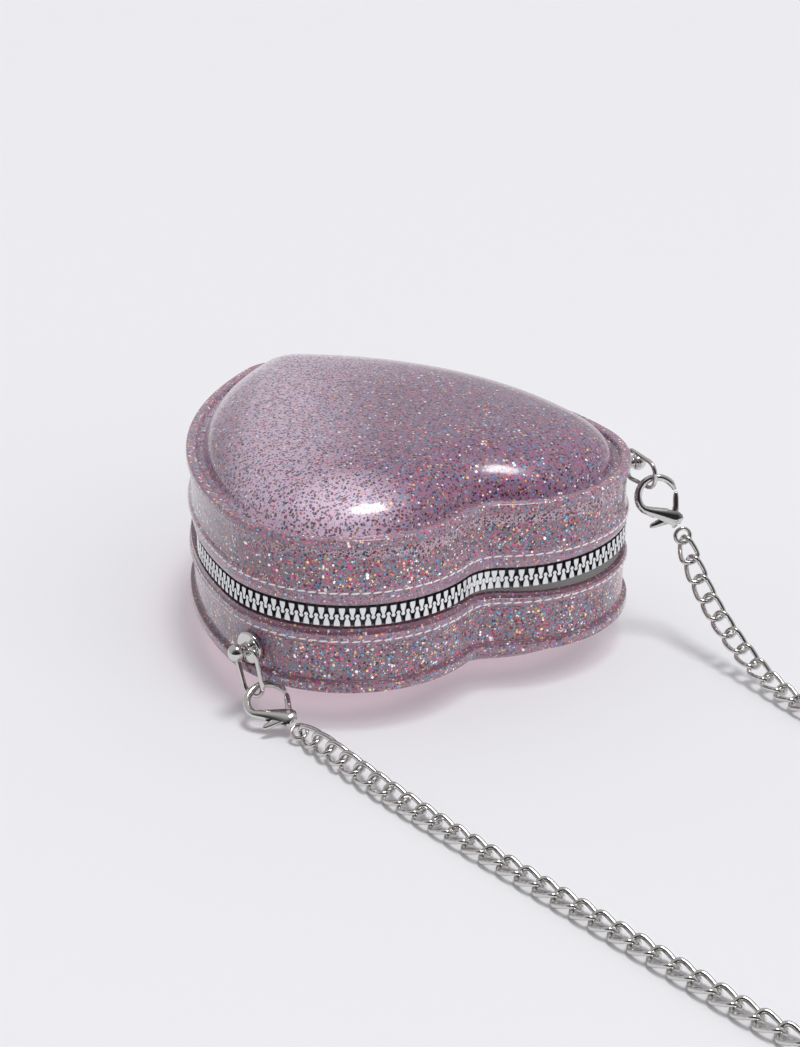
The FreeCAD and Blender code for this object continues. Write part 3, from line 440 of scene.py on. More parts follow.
# How much light is painted on the dome's left side, and how much shade on the far left walls
LEFT_PAINTED_LIGHT, LEFT_WALL_SHADE = 0.72, 0.35


def painted_dome_light(x, y):
    """How much light is painted on the dome: most at its back, on its left side where light comes through, and
    as a painted sheen near its front.
    """
    right, near = RIGHT_X * x + RIGHT_Y * y, RIGHT_Y * x - RIGHT_X * y
    left = LEFT_PAINTED_LIGHT * (1 - smooth_step(-30, 9, right)) * smooth_step(-52, -34, right)
    painted_sheen = 1 - smooth_step(0.2, 1, math.hypot((right + 10) / 28, (near - 74) / 21))
    return max(smooth_step(-5, 68, y), left, painted_sheen)


def shell(name, side):
    """A heart shell; side is 1 for the upper one and -1 for the lower one."""
    groove = RIM - LIP_STAND
    inner = WALL_STEP + WALL
    foot = LIP_WIDTH + GROOVE
    lip, lip_height = (0.0, UPPER_LIP) if side > 0 else (-LOWER_LIP_REACH, LOWER_LIP)
    under_lip = RIM - lip_height
    # Painted shade on the lower flange's ledge under the teeth, in the crease under the lip and in the groove
    # by the dome; painted light glowing on the upper wall under the lip
    dark, painted_glow, crease_shade = (0, 1, 0.45) if side > 0 else (1, 0, 0.85)
    outside = rounded_profile((
        (inner, EDGE, 0, 1, 0, 0, dark), (inner - 0.1, EDGE, 0, 1, 0, 0, dark),
        (0.55, EDGE, 0.3, 0.9, 0, 0, dark), (0.42, EDGE + 1.5, 0, 0.9, 0, 0, dark),
        (FLANGE_STEP, EDGE + 1.6, 0.15, 0.75, 0, 0, 0), (FLANGE_STEP, FLANGE_TOP - 0.4, 0.7, 0.55, 0, 0, 0),
        (WALL_STEP - 0.3, FLANGE_TOP + 0.5, 0.6, 0.1, 0, 0, 0), (WALL_STEP, FLANGE_TOP + 3.0, 1.5, 0, 0, 0, 0),
        (WALL_STEP, under_lip - 6.0, 0, 0, 0, 0.1 * painted_glow, 0),
        (WALL_STEP, under_lip - 3.0, 0, 0, 0, 0.62 * painted_glow, 0), (WALL_STEP, under_lip - 0.9, 0, 0, 0, painted_glow, 0),
        (WALL_STEP, under_lip - 0.1, 0.3, 0, 0, 0.5 * painted_glow, crease_shade),
        (lip + 0.2, under_lip + 0.1, 0.2, 0, 0, 0, crease_shade), (lip, under_lip + 0.7, 0.5, 0.5, 0, 0, 0),
        (lip, RIM, 0.95, 0.45, 0, 0, 0), (LIP_WIDTH - 0.4, RIM, 0.95, 0.45, 0, 0, 0),
        (LIP_WIDTH + 0.2, groove, 0.6, 0, 0.6, 0, 0.3), (foot - 0.6, groove, 0.9, 0, 1, 0, 0.15),
        (foot, groove + DOME_FOOT, 0, 0, 1, 0, 0),
    ))
    rings = [(heart_ring(x), y, values) for x, y, values in outside]

    def dome(inset, base, rise, first):
        rows = []
        for share in DOME_SHARES:
            up = max((1 - share ** DOME_FALL) ** DOME_ROUND, first)
            rows.append((heart_ring(inset, share), base + rise * up, (0, 1, 0, 0)))
        return rows

    rise = DOME_RISE + LIP_STAND
    rings += dome(foot, groove, rise, DOME_FOOT / rise)
    under = dome(foot + WALL, groove - WALL, rise, 0.0)
    under.reverse()
    inside = [(heart_ring(inset), height, (0, 0, 0, 0)) for inset, height in (
        (foot + WALL, groove - WALL), (inner, groove - WALL), (inner, EDGE + 0.3))]
    points, carried = [], []
    for ring, height, values in rings + under + inside:
        low = 1 - smooth_step(EDGE, EDGE_LIFT_END, height)
        for x, y in ring:
            lift = low * (edge_height(side, x, y) - side * EDGE)
            points.append((x, y, MID + side * height + lift))
            # Painted shade on the far left walls, off the dome, and painted light on the dome
            left_wall_shade = LEFT_WALL_SHADE * (1 - values[1]) * (1 - smooth_step(-72, -50, x))
            carried.append((*values[:3], min(1, values[3] + left_wall_shade), values[1] * painted_dome_light(x, y)))
    sides = len(rings[0][0])
    outer, total = len(rings), len(rings) + len(under) + len(inside)
    faces = ring_faces(outer, sides, False, 0, False)
    faces.append(tuple((outer - 1) * sides + step for step in range(sides)))
    faces.append(tuple(outer * sides + step for step in reversed(range(sides))))
    faces += ring_faces(total - outer, sides, False, outer * sides, False)
    last = (total - 1) * sides
    for step in range(sides):
        after = (step + 1) % sides
        faces.append((last + step, last + after, after, step))
    if side > 0:
        faces = [tuple(reversed(face)) for face in faces]
    thing = mesh_object(name, points, faces, JELLY)
    for number, label in enumerate(SURFACE):
        attribute = thing.data.attributes.new(label, "FLOAT", "POINT")
        attribute.data.foreach_set("value", [values[number] for values in carried])
    return thing


def recalculated(thing):
    work = bmesh.new()
    work.from_mesh(thing.data)
    bmesh.ops.recalc_face_normals(work, faces=work.faces)
    work.to_mesh(thing.data)
    work.free()
    return thing


def stands_for(thing, body, slot, *nodes):
    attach(thing, body)
    if nodes:
        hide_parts(*nodes)
    return thing


stands_for(recalculated(shell("upper_shell_jelly", 1)), "lid", "jelly_shell", "upper_shell")
stands_for(recalculated(shell("lower_shell_jelly", -1)), "base", "jelly_shell", "lower_shell")


# Along the zip: a place at a distance from its closed end
def zip_arcs(inset):
    right, flank, _, left_flank, left, cleft = heart_arcs(inset)
    return (
        (*flank[:3], TOOTH_END, flank[3], 1), (*right[:3], right[4], right[3], 1),
        (*cleft[:3], cleft[4], cleft[3], -1), (*left[:3], left[4], left[3], 1),
        (*left_flank[:3], left_flank[4], math.pi - TOOTH_END, 1),
    )


def zip_place(distance, inset=TAPE_MIDDLE):
    """A point on the zip and the way out of the purse there; the closed zip bulges outwards round the lobes."""
    arcs = zip_arcs(inset)
    for arc in arcs:
        span = arc[2] * abs(arc[4] - arc[3])
        if distance <= span or arc is arcs[-1]:
            break
        distance -= span
    x, y, radius, start, end, bulge = arc
    angle = start + distance / radius * math.copysign(1, end - start)
    out = Vector((math.cos(angle), math.sin(angle), 0))
    x, y = x + radius * out.x, y + radius * out.y
    out *= bulge
    flank = flank_share(y)
    bulged = ZIP_BULGE * (1 - flank)
    height = MID + zip_rise(x, y) + (STUD_MID - MID) * flank
    return Vector((x + out.x * bulged, y + out.y * bulged, height)), out


def zip_length(inset=TAPE_MIDDLE):
    return sum(arc[2] * abs(arc[4] - arc[3]) for arc in zip_arcs(inset))


FLANK_LENGTH = zip_arcs(TAPE_MIDDLE)[0][2] * (TOOTH_END - heart_arcs(TAPE_MIDDLE)[1][3])
TOOTH_COUNT = int(zip_length() / TOOTH_PITCH)


def tooth_outline():
    """Points of a tooth as (across, height): a tapered body, a neck and a round head."""
    half = [(0.86, 3.05), (0.95, 2.95), (0.97, 2.7), (0.95, 2.1), (0.82, 1.45), (0.60, 0.85), (0.45, 0.5),
            (0.41, 0.25)]
    half += [(0.41 + 0.33 * math.sin(math.pi * step / 6), 0.10 - 0.85 * step / 6) for step in range(1, 6)]
    half += [(0.42, -0.86), (0.15, -0.95)]
    return half + [(-x, z) for x, z in reversed(half)]


# The black base of a tooth, as (across, height)
TOOTH_BASE = ((-1.25, 1.05), (1.25, 1.05), (1.3, 2.6), (1.12, 3.22), (-1.12, 3.22), (-1.3, 2.6))


def teeth(name, side, distances):
    """A row of teeth with silver faces and rims, each on its black base."""
    points, faces, picks = [], [], []
    outline = tooth_outline()
    sides = len(outline)
    middle = sum(z for _, z in outline) / sides
    front = TOOTH_THICK / 2
    slices = ((-front, 1.0), (front - 0.28, 1.0), (front - 0.08, 0.95), (front, 0.84))
    for distance in distances:
        place, out = zip_place(distance)
        along = out.cross(UP)
        first = len(points)
        for depth, shrink in slices:
            for x, z in outline:
                height = (middle + (z - middle) * (shrink + 1) / 2) * side
                points.append(place + along * (x * shrink) + out * depth + UP * height)
        faces += ring_faces(len(slices), sides, False, first)
        picks += [1] * (2 * sides) + [0] * sides + [1, 0]
        base = len(points)
        for depth, shrink in ((-front + 0.3, 1.0), (front - 0.95, 1.0), (front - 0.7, 0.9)):
            for x, z in TOOTH_BASE:
                points.append(place + along * (x * shrink) + out * depth + UP * (z * side))
        own = ring_faces(3, len(TOOTH_BASE), False, base)
        faces += own
        picks += [1] * len(own)
    return recalculated(mesh_object(name, points, faces, [SILVER, RESIN], picks, False))


for tape, side, lag, body in (("upper", 1, 0.25, "lid"), ("lower", -1, 0.75, "base")):
    row = [(number + lag) * TOOTH_PITCH for number in range(TOOTH_COUNT)]
    for stretch in ("flank", "front"):
        chosen = [distance for distance in row if (distance < FLANK_LENGTH) == (stretch == "flank")]
        node = "%s_%s_teeth" % (tape, stretch)
        stands_for(teeth(node + "_moulded", side, chosen), body, "zip_teeth", node)


# Black cord of each tape between the teeth, and the strip of tape that shows beside them
STRIP_STEP, EDGE_CLEAR = 1.2, 0.1
CORD_BACK, CORD_FRONT, CORD_LOW, CORD_HIGH = -0.2, 0.65, 0.05, 3.0
STRIP_BACK, STRIP_FRONT, STRIP_LOW = -0.3, 0.25, 2.9


def zip_strip(name, material, back, front, heights):
    """A strip along the zip; heights gives its two edges at a place."""
    points = []
    span = zip_length()
    steps = int(span / STRIP_STEP)
    for step in range(steps + 1):
        place, out = zip_place(span * step / steps)
        low, high = heights(place)
        for depth, height in ((back, low), (front, low), (front, high), (back, high)):
            points.append(place + out * depth + UP * height)
    return recalculated(mesh_object(name, points, ring_faces(steps + 1, 4, False), material, None, False))


def cord_heights(side):
    return lambda place: sorted((CORD_LOW * side, CORD_HIGH * side))


def strip_heights(side):
    return lambda place: (
        STRIP_LOW * side, MID + edge_height(side, place.x, place.y) - side * EDGE_CLEAR - place.z)


for tape, side, body in (("upper", 1, "lid"), ("lower", -1, "base")):
    cord = zip_strip(tape + "_zip_cord", RESIN, CORD_BACK, CORD_FRONT, cord_heights(side))
    stands_for(cord, body, "zip_teeth")
for tape, side, body in (("upper", 1, "lid"), ("lower", -1, "base")):
    strip = zip_strip(tape + "_tape_edge", TAPE, STRIP_BACK, STRIP_FRONT, strip_heights(side))
    stands_for(strip, body, "zip_tape")

# Sewn thread on the shells' flanges
STITCH_PITCH, STITCH, STITCH_HEIGHT, STITCH_SLANT = 3.3, 2.7, 8.0, 0.10
THREAD_RADIUS, THREAD_STAND = 0.27, 0.04


def stitches(name, side):
    points, faces = [], []
    ring = [Vector((x, y, MID + side * STITCH_HEIGHT)) for x, y in heart_ring(FLANGE_STEP - THREAD_STAND)]
    ring.append(ring[0])
    lengths = measured(ring)
    count = round(lengths[-1] / STITCH_PITCH)
    for number in range(count):
        path = []
        for step in range(7):
            distance = (number * lengths[-1] / count + STITCH * step / 6) % lengths[-1]
            path.append(point_at(ring, lengths, distance) + UP * (STITCH_SLANT * (step / 3 - 1)))
        radii = [THREAD_RADIUS * grow for grow in (0.35, 0.85, 1, 1, 1, 0.85, 0.35)]
        more, own = tube(path, radii, False, 6)
        faces += [tuple(len(points) + corner for corner in face) for face in own]
        points += more
    return recalculated(mesh_object(name, points, faces, THREAD))


stands_for(stitches("upper_stitches", 1), "lid", "jelly_shell")
stands_for(stitches("lower_stitches", -1), "base", "jelly_shell")


# Studs and rings, in the same places as in the model
STUD_ANGLE, STUD_RISE, STUD_EYE_OUT = math.radians(15.1), 16.6, 3.2
STUD_OUT = {"front": Vector((-math.cos(STUD_ANGLE), -math.sin(STUD_ANGLE), 0)),
            "rear": Vector((math.cos(STUD_ANGLE), -math.sin(STUD_ANGLE), 0))}
STUD_SEAT, STUD_EYE = {}, {}
for name, side in (("front", -1), ("rear", 1)):
    centre = Vector((side * (WIDTH / 2 - LOBE), LOBE - LENGTH / 2, STUD_MID + side * STUD_RISE))
    STUD_SEAT[name] = centre + STUD_OUT[name] * (LOBE - WALL_STEP)
    STUD_EYE[name] = STUD_SEAT[name] + STUD_OUT[name] * STUD_EYE_OUT
LEAN, SWING = math.radians(18.0), math.radians(75.0)
FRONT_ALONG = STUD_OUT["front"].cross(UP) * -1
REAR_ALONG = STUD_OUT["rear"].cross(UP)
RING_BAR = {"front": FRONT_ALONG * math.cos(LEAN) + UP * math.sin(LEAN), "rear": UP}
RING_WAY = {"front": FRONT_ALONG * math.sin(LEAN) - UP * math.cos(LEAN),
            "rear": STUD_OUT["rear"] * math.cos(SWING) + REAR_ALONG * math.sin(SWING)}
RING_LENGTH, RING_WIRE = 15.0, 0.75
# Half widths and corner radii of a ring: at its bar and at its round end
RING_HALF_BAR, RING_BAR_CORNER, RING_HALF_END, RING_END_CORNER = 5.0, 1.8, 4.3, 4.0
NECK_RADIUS, BALL_RADIUS, BALL_HEIGHT = 2.05, 2.8, 6.4


def lathe(name, profile, origin, axis, material, sides=48):
    aside = axis.orthogonal().normalized()
    across = axis.cross(aside)
    points = []
    for radius, height in profile:
        for side in range(sides):
            angle = 2 * math.pi * side / sides
            turned = (aside * math.cos(angle) + across * math.sin(angle)) * radius
            points.append(origin + axis * height + turned)
    return recalculated(mesh_object(name, points, ring_faces(len(profile), sides, False), material))


def stud_profile():
    """Radius and height of a stud: a rounded base, a neck and a ball."""
    profile = [(0.4, 0.0), (4.9, 0.0), (5.12, 0.12), (5.22, 0.45), (5.22, 1.2), (5.12, 1.6), (4.85, 1.88),
               (4.5, 1.99), (3.9, 2.04), (2.5, 2.06), (2.25, 2.12), (2.1, 2.3), (NECK_RADIUS, 2.6),
               (NECK_RADIUS, 4.4)]
    start = math.asin(NECK_RADIUS / BALL_RADIUS)
    for step in range(15):
        angle = start + (math.pi - 0.12 - start) * step / 14
        profile.append((BALL_RADIUS * math.sin(angle), BALL_HEIGHT - BALL_RADIUS * math.cos(angle)))
    return profile


def loop_path(corners):
    """A closed flat path of (point, radius) corners joined by straight runs."""
    path = []
    count = len(corners)
    for number, (point, radius) in enumerate(corners):
        back = (corners[number - 1][0] - point).normalized()
        onward = (corners[(number + 1) % count][0] - point).normalized()
        half = back.angle(onward) / 2
        reach = radius / math.tan(half)
        centre = point + (back + onward).normalized() * (radius / math.sin(half))
        start, end = point + back * reach, point + onward * reach
        axis = (start - centre).cross(end - centre).normalized()
        turn = 180 - math.degrees(2 * half)
        path += bend_points(start, centre, axis, turn, 10) + [end]
    full = []
    for number, point in enumerate(path):
        after = path[(number + 1) % len(path)]
        parts = max(1, int((after - point).length / 0.8))
        full += [point.lerp(after, step / parts) for step in range(parts)]
    return full


for name, body in (("front", "base"), ("rear", "lid")):
    stud = lathe(name + "_stud_turned", stud_profile(), STUD_SEAT[name], STUD_OUT[name], NICKEL)
    stands_for(stud, body, "nickel", name + "_stud_post")
    bar, way, eye = RING_BAR[name], RING_WAY[name], STUD_EYE[name]
    half_bar, half_end, reach = bar * RING_HALF_BAR, bar * RING_HALF_END, way * RING_LENGTH
    path = loop_path((
        (eye - half_bar, RING_BAR_CORNER), (eye + half_bar, RING_BAR_CORNER),
        (eye + half_end + reach, RING_END_CORNER), (eye - half_end + reach, RING_END_CORNER)))
    points, faces = tube(path, RING_WIRE, True, 14)
    wire = recalculated(mesh_object(name + "_ring_wire", points, faces, NICKEL))
    stands_for(wire, name + "_ring", "nickel", name + "_ring")


# Lobster clasps
SPAN = 21.5
HOOK_CENTRE = Vector((-0.525 * SPAN, 0.51 * SPAN, 0))
HOOK_RADIUS, HOOK_WIRE, HOOK_CLEAR = 6.2, 1.15, 0.45
HOOK_START, HOOK_SWEEP, SLOT_HALF = 33.0, 190.0, 0.95
EYE_RADIUS, EYE_WIRE, EYE_STEPS = 2.45, 0.65, 40


def hook_point(angle):
    angle = math.radians(angle)
    return HOOK_CENTRE + Vector((math.cos(angle), math.sin(angle), 0)) * HOOK_RADIUS


HOLD_ANGLE = {"front": 137.0, "rear": 122.0}
HOOK_DROP = {"front": 0, "rear": 1.0}
CLASP_RUN = {"front": Vector((0.227, -0.924, -0.297)), "rear": Vector((0.333, -0.415, -0.845))}
FRONT_ROLL = math.radians(22.0)
CLASP_FACE = {"front": Quaternion(CLASP_RUN["front"], FRONT_ROLL) @ UP,
              "rear": Vector((-0.451, -0.795, 0.405))}


def clasp_matrix(name):
    """The clasp's own frame: its eye at the origin, facing along Z."""
    gap = RING_WIRE + HOOK_WIRE + HOOK_CLEAR
    hold_at = STUD_EYE[name] + RING_WAY[name] * (RING_LENGTH - gap) - UP * HOOK_DROP[name]
    hold = hook_point(HOLD_ANGLE[name])
    run = CLASP_RUN[name].normalized()
    face = CLASP_FACE[name]
    face = (face - run * face.dot(run)).normalized()
    across = face.cross(run)
    to_eye = -hold.normalized()
    right = run * to_eye.x - across * to_eye.y
    turned = Matrix((right, face.cross(right), face)).transposed()
    return Matrix.Translation(hold_at - turned @ hold) @ turned.to_4x4()


CLASP = {name: clasp_matrix(name) for name in ("front", "rear")}
# Outlines in the clasp's plane as shares of its span
SLOT = ((-0.50, -0.05), (-0.50, 0.235), (-0.325, 0.28), (-0.31, 0.48), (-0.02, 0.48), (-0.02, 0.22),
        (-0.16, 0.15), (-0.275, -0.05))
LEVER = ((-0.13, 0.30), (-0.215, 0.65), (-0.30, 0.635), (-0.23, 0.32), (-0.40, 0.19), (-0.54, 0.075),
         (-0.515, 0.0), (-0.36, 0.08), (-0.15, 0.20))
# The body's centre line, with its half widths and half depths
CLASP_BODY = (
    (-14.6, 5.95, 1.35, 1.3), (-13.2, 5.75, 1.5, 1.4), (-11.5, 5.62, 1.75, 1.5), (-9.6, 5.52, 2.05, 1.55),
    (-7.7, 5.42, 2.4, 1.6), (-5.9, 5.25, 2.75, 1.6), (-4.4, 5.1, 3.05, 1.6), (-3.3, 4.92, 3.2, 1.55),
    (-2.5, 4.75, 3.05, 1.4), (-1.9, 4.5, 2.5, 1.1), (-1.5, 4.2, 1.3, 0.6),
)


def put_in_place(name, *pieces):
    """Moves pieces from their clasp's own frame to where it hangs."""
    place = CLASP[name].copy()
    place.translation *= MM
    for piece in pieces:
        piece.data.transform(place)


def clasp_hook(name):
    """A hook that swells into the clasp's body, with a slot for the lever, and its eye."""
    path, wide, thick = [], [], []
    for step in range(33):
        share = step / 32
        path.append(hook_point(HOOK_START + HOOK_SWEEP * share))
        grow = smooth_step(0.55, 1.0, share)
        start = 0.62 + 0.38 * smooth_step(0, 0.12, share)
        wide.append((HOOK_WIRE + 0.15 * grow) * start)
        thick.append((HOOK_WIRE + 0.1 * grow) * start)
    for x, y, half, deep in CLASP_BODY:
        path.append(Vector((x, y, 0)))
        wide.append(half)
        thick.append(deep)
    points, faces = tube(path, wide, False, 20, (Vector((0, 0, 1)), thick))
    hook = recalculated(mesh_object(name + "_clasp_cast", points, faces, NICKEL))
    slot = [Vector((x * SPAN, y * SPAN, z)) for z in (-SLOT_HALF, SLOT_HALF) for x, y in SLOT]
    faces = ring_faces(2, len(SLOT), False)
    tool = recalculated(mesh_object(name + "_slot", slot, faces, NICKEL, None, False))
    cutter = hook.modifiers.new("slot", "BOOLEAN")
    cutter.object = tool
    cutter.solver = "EXACT"
    bpy.context.view_layer.update()
    seen = hook.evaluated_get(bpy.context.evaluated_depsgraph_get())
    mesh = bpy.data.meshes.new_from_object(seen)
    hook.modifiers.clear()
    hook.data = mesh
    bpy.data.objects.remove(tool)
    angles = [2 * math.pi * step / EYE_STEPS for step in range(EYE_STEPS)]
    ring = [Vector((math.cos(angle), math.sin(angle), 0)) * EYE_RADIUS for angle in angles]
    points, faces = tube(ring, EYE_WIRE, True, 12)
    eye = recalculated(mesh_object(name + "_clasp_eye", points, faces, NICKEL))
    put_in_place(name, hook, eye)
    hook.data.set_sharp_from_angle(angle=math.radians(40))
    return hook, eye


def rounded_outline(corners, rounds=3):
    """Cuts the corners of a closed outline a few times over, so that it turns smoothly."""
    for _ in range(rounds):
        cut = []
        for here, after in zip(corners, corners[1:] + corners[:1]):
            cut += [here.lerp(after, 0.22), here.lerp(after, 0.78)]
        corners = cut
    return corners


def clasp_lever(name):
    """A flat lever with rounded faces: its gate closes the hook and its thumb end stands out of the body."""
    outline = rounded_outline([Vector((x * SPAN, y * SPAN)) for x, y in LEVER])
    count = len(outline)
    points = []
    for depth, inset in ((-0.78, 0.45), (-0.62, 0.16), (-0.3, 0.0), (0.3, 0.0), (0.62, 0.16), (0.78, 0.45)):
        for number, corner in enumerate(outline):
            way = (outline[(number + 1) % count] - outline[number - 1]).normalized()
            points.append(Vector((corner.x + way.y * -inset, corner.y + way.x * inset, depth)))
    lever = recalculated(mesh_object(name + "_lever_stamped", points, ring_faces(6, count, False), NICKEL))
    put_in_place(name, lever)
    return lever


for name in ("front", "rear"):
    stands_for(clasp_lever(name), name + "_lever", "nickel", name + "_clasp_lever")
    hook, eye = clasp_hook(name)
    stands_for(hook, name + "_clasp", "nickel", name + "_clasp_hook")
    stands_for(eye, name + "_clasp", "nickel", name + "_clasp_hook")


# Chain: curb links along the same route as in the model
FRONT_ROUTE = (
    (-62.8, -80.0, 4.5), (-61.0, -95.0, 4.0), (-57.8, -115.0, 3.0), (-52.6, -143.0, 2.5),
    (-46.2, -174.0, 2.5), (-41.4, -198.0, 2.5), (-36.0, -226.0, 2.5), (-31.2, -252.0, 2.5),
    (-24.0, -276.0, 2.5), (-8.0, -291.5, 2.5), (14.0, -298.0, 2.6), (36.0, -298.6, 2.8),
)
REAR_ROUTE = (
    (112.6, -236.0, 7.6), (107.0, -214.0, 5.0), (97.6, -192.0, 3.0), (87.4, -171.0, 2.6),
    (80.6, -150.0, 2.5), (78.4, -130.0, 2.8), (78.4, -112.0, 4.8), (77.9, -96.0, 11.4),
    (77.5, -84.0, 19.4), (77.4, -74.6, 28.9),
)
COIL_CENTRE = Vector((70.0, -255.0, 0))
COIL_START, COIL_TURN, COIL_STEPS = 266.0, 814.0, 54
COIL_RADIUS, COIL_INNER, COIL_LIFT, COIL_LAYER = 44.0, 35.0, 3.0, 5.4
EYE_ROLL_SHARE, ROLL_LINKS = 0.7, 10
LINK_WIRE, LINK_END, LINK_TWIST, LINK_PITCH, LINK_PLAY = 0.8, 2.75, 30.0, 7.0, 0.35
LINK_ROUND, LINK_TURN = 2.25, 43.0
LINK_HALF = (LINK_PITCH + 2 * LINK_WIRE + LINK_PLAY) / 2


chain_end = {name: CLASP[name] @ Vector((0, 0, -EYE_WIRE)) for name in CLASP}


def chain_line():
    """Points along the smooth spline of the chain's route: front clasp, round the coil, rear clasp."""
    turns = []
    for step in range(COIL_STEPS + 1):
        turned = COIL_TURN * step / COIL_STEPS
        depth = 1 - abs(2 * turned / COIL_TURN - 1)
        height = COIL_LIFT + COIL_LAYER * smooth_step(-90, 90, turned - COIL_TURN / 2)
        radius = COIL_RADIUS - (COIL_RADIUS - COIL_INNER) * depth
        angle = math.radians(COIL_START + turned)
        turns.append(COIL_CENTRE + Vector((radius * math.cos(angle), radius * math.sin(angle), height)))
    route = [chain_end["front"], *FRONT_ROUTE, *turns, *REAR_ROUTE, chain_end["rear"]]
    curve = bpy.data.curves.new("chain_route", "CURVE")
    curve.dimensions = "3D"
    spline = curve.splines.new("NURBS")
    spline.points.add(len(route) - 1)
    for control, point in zip(spline.points, route):
        control.co = (*(c * MM for c in point), 1)
    spline.order_u = 3
    spline.use_endpoint_u = True
    line = bpy.data.objects.new("chain_route", curve)
    bpy.context.scene.collection.objects.link(line)
    bpy.context.view_layer.update()
    mesh = bpy.data.meshes.new_from_object(line.evaluated_get(bpy.context.evaluated_depsgraph_get()))
    points = [vertex.co / MM for vertex in mesh.vertices]
    bpy.data.objects.remove(line)
    bpy.data.meshes.remove(mesh)
    return points


chain_path = chain_line()
chain_lengths = measured(chain_path)
CHAIN_LENGTH = chain_lengths[-1]


def path_at(distance):
    return point_at(chain_path, chain_lengths, distance)


def link_frame(distance, roll):
    half = LINK_HALF / 2
    way = (path_at(distance + half) - path_at(distance - half)).normalized()
    aside = UP.cross(way).normalized()
    up = Quaternion(way, math.radians(roll)) @ way.cross(aside)
    turned = Matrix((way, up.cross(way), up)).transposed()
    return Matrix.Translation(path_at(distance)) @ turned.to_4x4()


def eye_roll(distance, name, sign):
    face = link_frame(distance, 0).to_3x3().inverted() @ (CLASP[name].to_3x3() @ UP)
    roll = math.degrees(math.atan2(face.z, face.y)) + sign * LINK_TWIST
    return EYE_ROLL_SHARE * ((roll + 90) % 180 - 90)


def link_path():
    """The centre line of a curb link: a long oval, twisted evenly from one end to the other."""
    flat = []
    side = LINK_HALF - LINK_ROUND
    for end in (1, -1):
        for step in range(17):
            angle = math.pi * (step / 16 - 0.5)
            flat.append((end * (side + LINK_ROUND * math.cos(angle)), end * LINK_END * math.sin(angle)))
        flat += [(end * side * (1 - 2 * step / 8), end * LINK_END) for step in range(1, 8)]
    path = []
    for x, y in flat:
        turn = -math.radians(LINK_TURN) * x / LINK_HALF
        path.append(Vector((x, y * math.cos(turn), y * math.sin(turn))))
    return path


def chain():
    lead = LINK_HALF + EYE_RADIUS - EYE_WIRE - LINK_WIRE - HOOK_CLEAR
    count = 1 + round((CHAIN_LENGTH - 2 * lead) / LINK_PITCH)
    pitch = (CHAIN_LENGTH - 2 * lead) / (count - 1)
    rolls = eye_roll(lead, "front", -1), eye_roll(CHAIN_LENGTH - lead, "rear", 1)
    own, own_faces = tube(link_path(), LINK_WIRE, True, 10)
    points, faces = [], []
    for number in range(count):
        front_ease = max(0, 1 - number / ROLL_LINKS)
        rear_ease = max(0, 1 - (count - 1 - number) / ROLL_LINKS)
        place = link_frame(lead + number * pitch, rolls[0] * front_ease + rolls[1] * rear_ease)
        faces += [tuple(len(points) + corner for corner in face) for face in own_faces]
        points += [place @ point for point in own]
    return recalculated(mesh_object("chain", points, faces, NICKEL))


links = chain()
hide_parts("chain_front", "chain_coil", "chain_rear")
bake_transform(links)
on_chain = ["chain_tie"]
for pieces in (("clasp_cast", "clasp_eye"), ("lever_stamped", "clasp_pin", "clasp_spring")):
    on_chain += ["%s_%s" % (name, piece) for name in ("front", "rear") for piece in pieces]


# Solids that keep their own shape, with softer edges on the slider and its tab
def dress(node, material, bevel=0.0):
    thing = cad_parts[node]
    thing.data.materials.clear()
    thing.data.materials.append(material)
    if bevel:
        round_off = thing.modifiers.new("edges", "BEVEL")
        round_off.width = bevel * MM
        round_off.segments = 3
        round_off.limit_method = "ANGLE"
        round_off.angle_limit = math.radians(35)


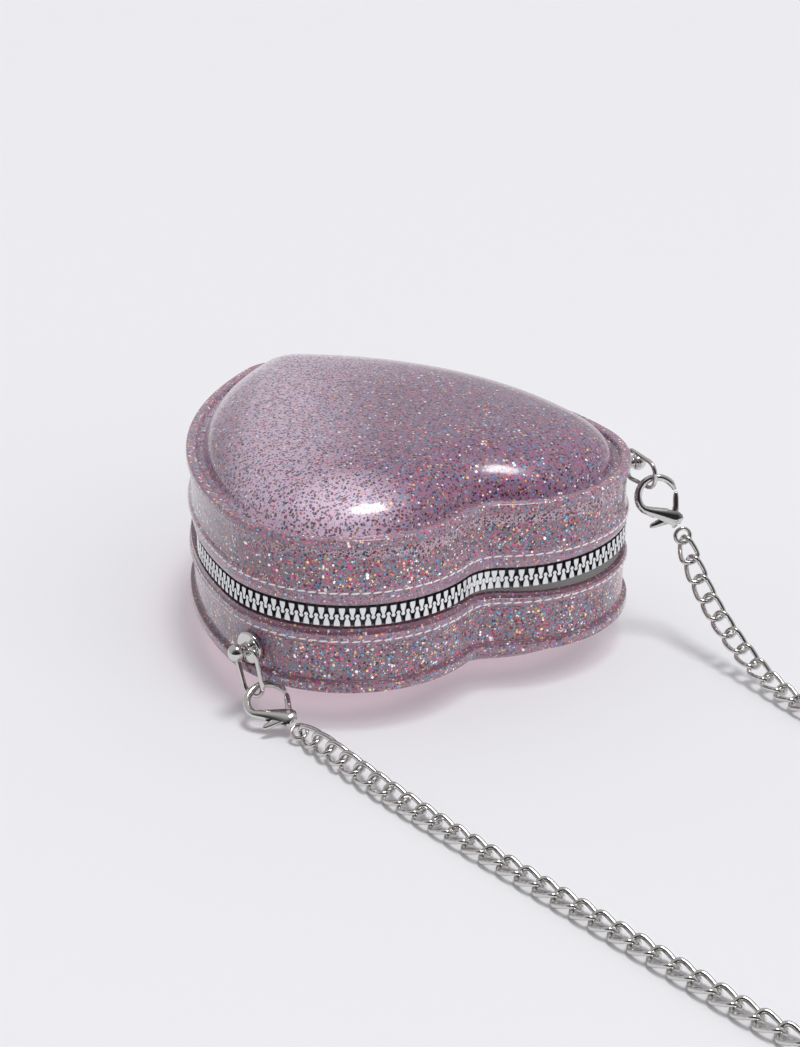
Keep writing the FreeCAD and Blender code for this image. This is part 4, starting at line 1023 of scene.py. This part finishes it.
for tape in ("upper", "lower"):
    dress(tape + "_zip_tape", TAPE)
    dress(tape + "_zip_stops", RESIN)
dress("hinge_strip", LINING)
dress("zip_slider", NICKEL, 0.25)
dress("pull_tab", NICKEL, 0.3)
dress("chain_tie", BAND)
for name in ("front", "rear"):
    dress(name + "_stud_washer", NICKEL)
    dress(name + "_stud_screw", NICKEL)
    dress(name + "_clasp_pin", NICKEL)
    dress(name + "_clasp_spring", STEEL)


# Floor and light
floor_mesh = bpy.data.meshes.new("floor")
floor_mesh.from_pydata([(-6, -6, 0), (6, -6, 0), (6, 6, 0), (-6, 6, 0)], [], [(0, 1, 2, 3)])
floor_mesh.materials.append(plain("floor", (0.849, 0.849, 0.874), 0.7))
floor = bpy.data.objects.new("floor", floor_mesh)
bpy.context.scene.collection.objects.link(floor)


def far_light(name, towards, softness, strength, mirrored=True):
    """A distant lamp that lies in the given direction and looks as wide as softness, in degrees."""
    data = bpy.data.lights.new(name, "SUN")
    data.angle = math.radians(softness)
    data.energy = strength
    lamp = bpy.data.objects.new(name, data)
    lamp.visible_glossy = mirrored
    lamp.rotation_euler = (-Vector(towards)).to_track_quat("-Z", "Y").to_euler()
    bpy.context.scene.collection.objects.link(lamp)


far_light("softbox", (0.08, -0.155, 0.97), 20, 1.45)
far_light("fill", (0.03, -0.93, 0.35), 70, 1.15, False)


def sky_world():
    """Pale all round, and darker towards the low front, where a dim room would be."""
    world = bpy.data.worlds.new("world")
    world.use_nodes = True
    nodes, links = world.node_tree.nodes, world.node_tree.links
    way = nodes.new("ShaderNodeTexCoord").outputs["Generated"]
    dot = nodes.new("ShaderNodeVectorMath")
    dot.operation = "DOT_PRODUCT"
    links.new(way, dot.inputs[0])
    dot.inputs[1].default_value = Vector((-0.49, -0.87, 0.05)).normalized()
    ease = nodes.new("ShaderNodeMapRange")
    ease.interpolation_type = "SMOOTHSTEP"
    set_inputs(ease, ("From Min", 0.15), ("From Max", 0.85), ("To Min", 0.0), ("To Max", 1.0))
    links.new(dot.outputs["Value"], ease.inputs["Value"])
    colour = mix_colour(nodes, links, ease.outputs[0], (0.95, 0.95, 0.965), (0.05, 0.05, 0.055))
    links.new(colour, nodes["Background"].inputs[0])
    nodes["Background"].inputs[1].default_value = 0.56
    return world


bpy.context.scene.world = sky_world()
bpy.context.scene.view_settings.view_transform = "Standard"
